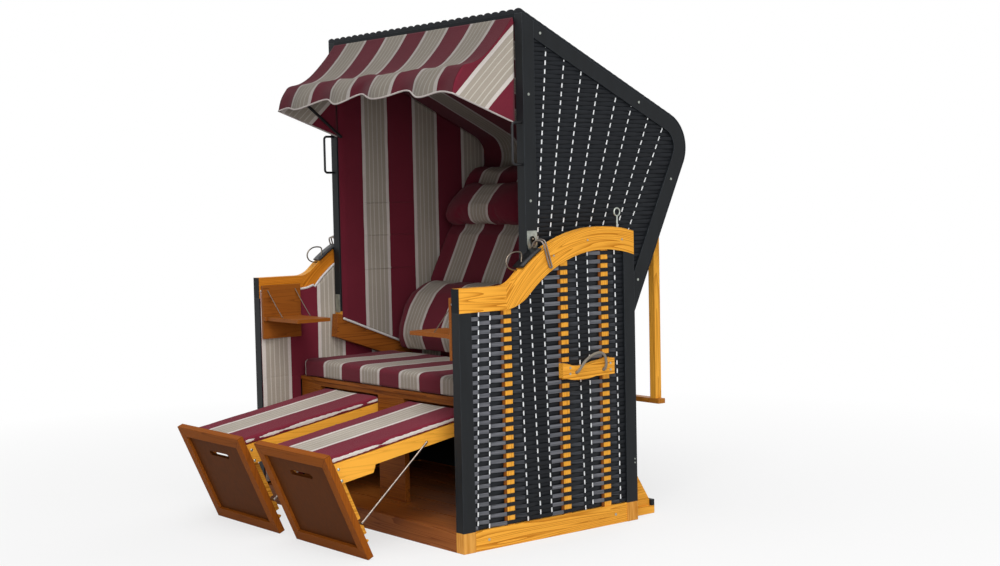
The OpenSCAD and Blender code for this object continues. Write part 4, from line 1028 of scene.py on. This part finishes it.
def softCopy(node, name, cushion, keep=None):  # a copy of the solid, a little smaller, that can swell
    copy = placed(name, nodes[node].data.copy())
    shape = bmesh.new()
    shape.from_mesh(copy.data)
    if keep:
        away = [v for v in shape.verts if not keep(v.co)]
        bmesh.ops.delete(shape, geom=away, context="VERTS")
    bmesh.ops.remove_doubles(shape, verts=shape.verts, dist=0.00005)
    bmesh.ops.recalc_face_normals(shape, faces=shape.faces)
    remeshed(copy, shape, cushion["voxel"])
    creased(copy, lambda place, normal: normal*-cushion["shrink"])
    return copy


def slab(name, cushion, low, high, turned=None):  # a block with rounded edges
    made = placed(name, bpy.data.meshes.new(name))
    shape = bmesh.new()
    low, high = Vector(low), Vector(high)
    block = Matrix.Translation((low + high)/2) @ Matrix.Diagonal((*(high - low), 1))
    bmesh.ops.create_cube(shape, size=1.0, matrix=block)
    bmesh.ops.bevel(shape, geom=shape.edges[:], offset=cushion["radius"], segments=4, profile=0.5,
                    affect="EDGES")
    if turned:
        bmesh.ops.transform(shape, matrix=turned, verts=shape.verts)
    return remeshed(made, shape, cushion["voxel"])


filling = {"frames": 20, "quality": 4, "mass": 0.3, "stretch": 12, "bending": 0.6}


def swell(piece, cushion):
    start = [v.co.copy() for v in piece.data.vertices]
    cloth = piece.modifiers.new("swelling", "CLOTH")
    settings = cloth.settings
    settings.quality, settings.mass = filling["quality"], filling["mass"]
    settings.tension_stiffness = settings.compression_stiffness = filling["stretch"]
    settings.bending_stiffness = filling["bending"]
    settings.use_pressure, settings.uniform_pressure_force = True, cushion["pressure"]
    settings.effector_weights.gravity = 0
    cloth.collision_settings.use_collision = False
    cloth.point_cache.frame_start, cloth.point_cache.frame_end = 1, filling["frames"]
    for number in range(1, filling["frames"] + 1):
        scene.frame_set(number)
    applyModifiers(piece)
    limited = []
    for vertex, old in zip(piece.data.vertices, start):
        move = vertex.co - old
        limited.extend(old + move*min(1, cushion["cap"]/max(move.length, 1e-9)))
    piece.data.vertices.foreach_set("co", limited)
    piece.data.update()
    scene.frame_set(1)


def finishCushion(piece, body, material, node, fine=True):
    soft = piece.modifiers.new("soften", "SMOOTH")
    soft.factor, soft.iterations = 0.5, 2
    applyModifiers(piece)
    mesh = piece.data
    mesh.materials.clear()
    mesh.materials.append(material)
    mesh.polygons.foreach_set("material_index", [0]*len(mesh.polygons))
    mesh.polygons.foreach_set("use_smooth", [True]*len(mesh.polygons))
    if fine:
        piece.modifiers.new("fine", "SUBSURF").levels = 1
        piece.modifiers["fine"].render_levels = 1
    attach(piece, body)
    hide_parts(node)


seatCushion = {"low": (-0.516, -0.2007, 0.4240), "high": (0.516, 0.1920, 0.4815), "radius": 0.011,
               "voxel": 0.006, "pressure": 3.0, "cap": 0.004, "uneven": (7.0, 0.0022), "lip": 0.010,
               "lipFrom": -0.1935, "lipBelow": 0.445}


def makeSeatCushion():
    piece = slab("seat_pad", seatCushion, seatCushion["low"], seatCushion["high"])
    swell(piece, seatCushion)

    def rule(p, n):  # it hangs a little over the front board
        lip = seatCushion["lip"]*ease((seatCushion["lipFrom"] - p.y)/0.004)*(p.z < seatCushion["lipBelow"])
        return n*wobbly((p.x, p.y*1.4, p.z), *seatCushion["uneven"]) - Vector((0, 0, lip))

    creased(piece, rule)
    finishCushion(piece, "base", acrossStripes, "seat_cushion", fine=False)


backCushion = {"voxel": 0.009, "shrink": 0.004, "pressure": 4.0, "cap": 0.014, "uneven": (6.0, 0.003),
               "channels": (0.70, 0.93), "dip": 0.012, "dipHalf": 0.035, "squareFrom": 0.405,
               "squareOver": 0.07, "square": 0.024, "forward": (0, -0.90, 0.44)}


def makeBackCushion():
    piece = softCopy("back_cushion", "back_pad", backCushion)
    swell(piece, backCushion)

    def rule(p, n):  # stitched channels across the front, and square sides
        near = [max(0, 1 - ((p.z - z)/backCushion["dipHalf"])**2)**2 for z in backCushion["channels"]]
        dip = sum(backCushion["dip"]*share for share in near) if n.y < -0.3 else 0
        outer = ease((abs(p.x) - backCushion["squareFrom"])/backCushion["squareOver"])*(n.y < 0.3)
        square = backCushion["square"]*outer*Vector(backCushion["forward"])
        return n*(wobbly(p, *backCushion["uneven"]) - dip) + square

    creased(piece, rule)
    finishCushion(piece, "hood", acrossStripes, "back_cushion")


lumbarCushion = {"voxel": 0.008, "shrink": 0.005, "pressure": 4.0, "cap": 0.012, "uneven": (9.0, 0.004),
                 "sunk": 0.008, "sunkBelow": 0.60, "sunkOver": 0.08}


def makeLumbarCushion():
    piece = softCopy("lumbar_cushion", "lumbar_pad", lumbarCushion)
    swell(piece, lumbarCushion)

    def rule(p, n):  # its underside rests low on the seat
        sunk = lumbarCushion["sunk"]*ease((lumbarCushion["sunkBelow"] - p.z)/lumbarCushion["sunkOver"])
        return n*wobbly((p.x*0.7, p.y, p.z), *lumbarCushion["uneven"]) - Vector((0, 0, sunk))

    creased(piece, rule)
    finishCushion(piece, "hood", acrossStripes, "lumbar_cushion")


headPillow = {"voxel": 0.006, "shrink": 0.004, "pressure": 4.0, "cap": 0.014, "uneven": (12.0, 0.003)}


def makeHeadPillow(sideName, side):
    piece = softCopy("head_pillows", "head_pillow_" + sideName, headPillow, lambda p: p.x*side > 0)
    swell(piece, headPillow)
    creased(piece, lambda p, n: n*wobbly(p, *headPillow["uneven"]))
    finishCushion(piece, "hood", pillowStripes, "head_pillows")


# the sloping footrest cushion, measured from the sliding bar's middle
footCushion = {"x": (0.0815, 0.4075), "y": (-0.5390, -0.0200), "z": (0.0178, 0.0380),
               "axis": (0, -0.150, 0.354), "slope": radians(9.35), "radius": 0.005, "voxel": 0.004,
               "pressure": 3.0, "cap": 0.002, "uneven": (10.0, 0.001)}


def makeFootCushion(sideName, side):
    ends = sorted(side*x for x in footCushion["x"])
    low, high = zip(ends, footCushion["y"], footCushion["z"])
    turned = Matrix.Translation(footCushion["axis"]) @ Matrix.Rotation(footCushion["slope"], 4, "X")
    piece = slab("foot_pad_" + sideName, footCushion, low, high, turned)
    swell(piece, footCushion)
    creased(piece, lambda p, n: n*wobbly(p, *footCushion["uneven"]))
    finishCushion(piece, "shelf_" + sideName, footStripes, "shelf_cushion_" + sideName, fine=False)


shelfBolts = {"x": (0.081, 0.408), "places": ((-0.662, 0.268), (-0.652, 0.234)), "radius": 0.0048,
              "height": 0.0024, "sunk": 0.0003, "rings": 5, "around": 16}


def makeShelfBolts(sideName, side):
    patch = Patch()
    turns = [2*pi*i/shelfBolts["around"] for i in range(shelfBolts["around"])]
    for x, outward in zip(shelfBolts["x"], (-1, 1)):
        for y, z in shelfBolts["places"]:
            rings = []
            for angle in spread(0, pi/2, shelfBolts["rings"]):
                wide, high = shelfBolts["radius"]*cos(angle), shelfBolts["height"]*sin(angle)
                out = side*(x + outward*(high - shelfBolts["sunk"]))
                rings.append([(out, y + wide*cos(turn), z + wide*sin(turn)) for turn in turns])
            patch.grid(rings, 0, True)
    patch.piece("shelf_bolts_" + sideName, "shelf_" + sideName, [zinc], slot="zinc")


makeSeatCushion()
makeBackCushion()
makeLumbarCushion()
for sideName, side in sides:
    makeHeadPillow(sideName, side)
    makeFootCushion(sideName, side)
    makeShelfBolts(sideName, side)
print("cushions made")

awning = {"half": 0.4895, "hemHalf": 0.4885, "top": (-0.0530, 1.5740), "tip": (-0.2404, 1.4196),
          "line": [(-0.0530, 1.5720), (-0.0950, 1.5200), (-0.1500, 1.4650), (-0.1950, 1.4360),
                   (-0.2404, 1.4230), (-0.2580, 1.4060), (-0.2760, 1.3760), (-0.2860, 1.3400)],
          "pivot": (-0.0510, 1.2560), "post": 1.566, "columns": 200, "rows": 56, "gusset": 22,
          "thick": 0.0012, "piping": 0.0022, "dropFrom": 2.6, "dropOver": 4.4, "sag": 0.010,
          "stripe": 0.111, "pitch": 0.2335, "waveDepth": 0.013, "waveFall": 0.85, "arch": 0.016,
          "folds": 0.0022, "bulge": 0.004, "gussetFoot": (-0.3000, 1.3400), "gussetWidth": 0.2,
          "flatDepth": 0.42}


def awningPoint(u, v):  # u runs from side to side, v from the roof to the hem
    line = [Vector(p) for p in awning["line"]]
    at = v*(len(line) - 1)
    k = min(int(at), len(line) - 2)
    p = splinePoint(line, k, at - k)
    drop = ease((at - awning["dropFrom"])/awning["dropOver"])
    sag = awning["sag"]*(1 - u*u)*sin(pi*min(at/4, 1))
    half = awning["half"] + (awning["hemHalf"] - awning["half"])*drop
    stripe = cos(2*pi*(abs(u*half) - awning["stripe"])/awning["pitch"])  # the pale ones hang out and low
    wave = awning["waveDepth"]*drop*stripe*(1 - abs(u)**6)
    lift = awning["arch"]*drop*(1 - u*u)
    folds = awning["folds"]*sin(21*u + 2.2*at)*min(at/4, 1)*(1 - u**8)
    return Vector((u*half, p[0] - wave + folds, p[1] - sag - awning["waveFall"]*wave + lift + folds))


def makeAwning():
    patch = Patch()
    rows, steps, post = awning["rows"], awning["gusset"], awning["post"]
    corner = {side: [awningPoint(side, j/rows) for j in range(rows + 1)] for side in (-1, 1)}

    def gusset(side, s):
        made = []
        for j, p in enumerate(corner[side]):
            v = j/rows
            inner = Vector((side*awning["half"], awning["pivot"][0], post + (awning["pivot"][1] - post)*v))
            bulge = awning["bulge"]*sin(pi*s)*sin(pi*v)
            made.append(p.lerp(inner, s) + Vector((-side*bulge, 0, 0)))
        return made

    columns = [gusset(-1, i/steps) for i in range(steps, 0, -1)]
    columns += [[awningPoint(u, j/rows) for j in range(rows + 1)] for u in spread(-1, 1, awning["columns"])]
    columns += [gusset(1, i/steps) for i in range(1, steps + 1)]
    patch.grid(columns, lambda i, j: 0 if steps <= i < steps + awning["columns"] else 1)
    patch.tube([c[-1] for c in columns], awning["piping"], 2)
    cloth = patch.piece("awning_cover", None, [awningStripes, gussetStripes, hemPiping], slot="striped_cloth")
    thick = cloth.modifiers.new("cloth", "SOLIDIFY")
    thick.thickness, thick.offset = awning["thick"], 0
    applyModifiers(cloth)
    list(awning["top"])
    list(awning["tip"])
    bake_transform(cloth)
    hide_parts("awning_cloth")


topY, topZ = awning["top"]
gussetLine = Vector((0, awning["gussetFoot"][0] - topY, awning["gussetFoot"][1] - topZ)).normalized()
gussetStart = topY*gussetLine.z - topZ*gussetLine.y  # the gussets' stripes run along their front edge
# painted light: the gussets' stripes are brightened by their tint
gussetStripes = stripedCloth("striped_gusset", (0, gussetLine.z, -gussetLine.y), gussetStart - 0.133, 0.25,
                             mirrored=False, share=0.458, tintAndPaintedLight=1.08)
makeAwning()
print("awning made")

floorPlane = {"reach": 40.0, "steps": 8, "height": -0.0005, "grey": 0.72, "near": 0.62, "perMetre": 0.12}
light = {"key": (3.0, -2.5, 5.2, 172.0, 2.6), "fill": (4.6, -2.5, 2.0, 115.0, 2.6),
         "top": (0.3, -1.0, 5.4, 85.0, 3.5), "back": (-1.6, 4.8, 3.2, 110.0, 3.0)}
aim, worldStrength = (0, 0, 0.7), 0.20


def directRays(tree):  # what the camera, metal and glass see
    rays = add(tree, "LightPath").outputs
    seen = calc(tree, "MAXIMUM", rays["Is Camera Ray"], rays["Is Glossy Ray"])
    return calc(tree, "MAXIMUM", seen, rays["Is Transmission Ray"])


def makeFloor():
    patch = Patch()
    ticks = spread(-floorPlane["reach"], floorPlane["reach"], floorPlane["steps"])
    patch.grid([[(x, y, floorPlane["height"]) for y in ticks] for x in ticks])
    material, tree, shader = newMaterial("pale_floor", roughness=0.9, specular=0.1)
    shader.inputs["Base Color"].default_value = asColour(floorPlane["grey"])
    glow = add(tree, "Emission", {"Color": (1, 1, 1, 1), "Strength": 1.0}).outputs[0]
    far = add(tree, "VectorMath", {0: objectPlace(tree)}, operation="LENGTH").outputs["Value"]
    fade = calc(tree, "ADD", calc(tree, "MULTIPLY", far, floorPlane["perMetre"]), floorPlane["near"])
    share = calc(tree, "MULTIPLY", directRays(tree), calc(tree, "MINIMUM", fade, 1.0))
    mixed = add(tree, "MixShader", {0: share, 1: shader.outputs[0], 2: glow}).outputs[0]
    tree.links.new(mixed, tree.nodes["Material Output"].inputs["Surface"])
    patch.piece("floor", None, [material], smooth=False)


def makeLights():
    for name, (x, y, z, power, size) in light.items():
        data = bpy.data.lights.new(name + "_light", "AREA")
        data.energy, data.size = power, size
        lamp = placed(name + "_light", data)
        lamp.location = (x, y, z)
        lamp.rotation_euler = (Vector(aim) - Vector((x, y, z))).to_track_quat("-Z", "Y").to_euler()
    world = bpy.data.worlds.new("studio")
    world.use_nodes = True
    scene.world = world
    tree = world.node_tree
    seen = calc(tree, "MULTIPLY", directRays(tree), 1.0 - worldStrength)
    background = tree.nodes["Background"]
    background.inputs["Color"].default_value = (1, 1, 1, 1)
    tree.links.new(calc(tree, "ADD", seen, worldStrength), background.inputs["Strength"])


makeFloor()
makeLights()
scene.view_settings.view_transform = "Standard"
print("floor and lights set")
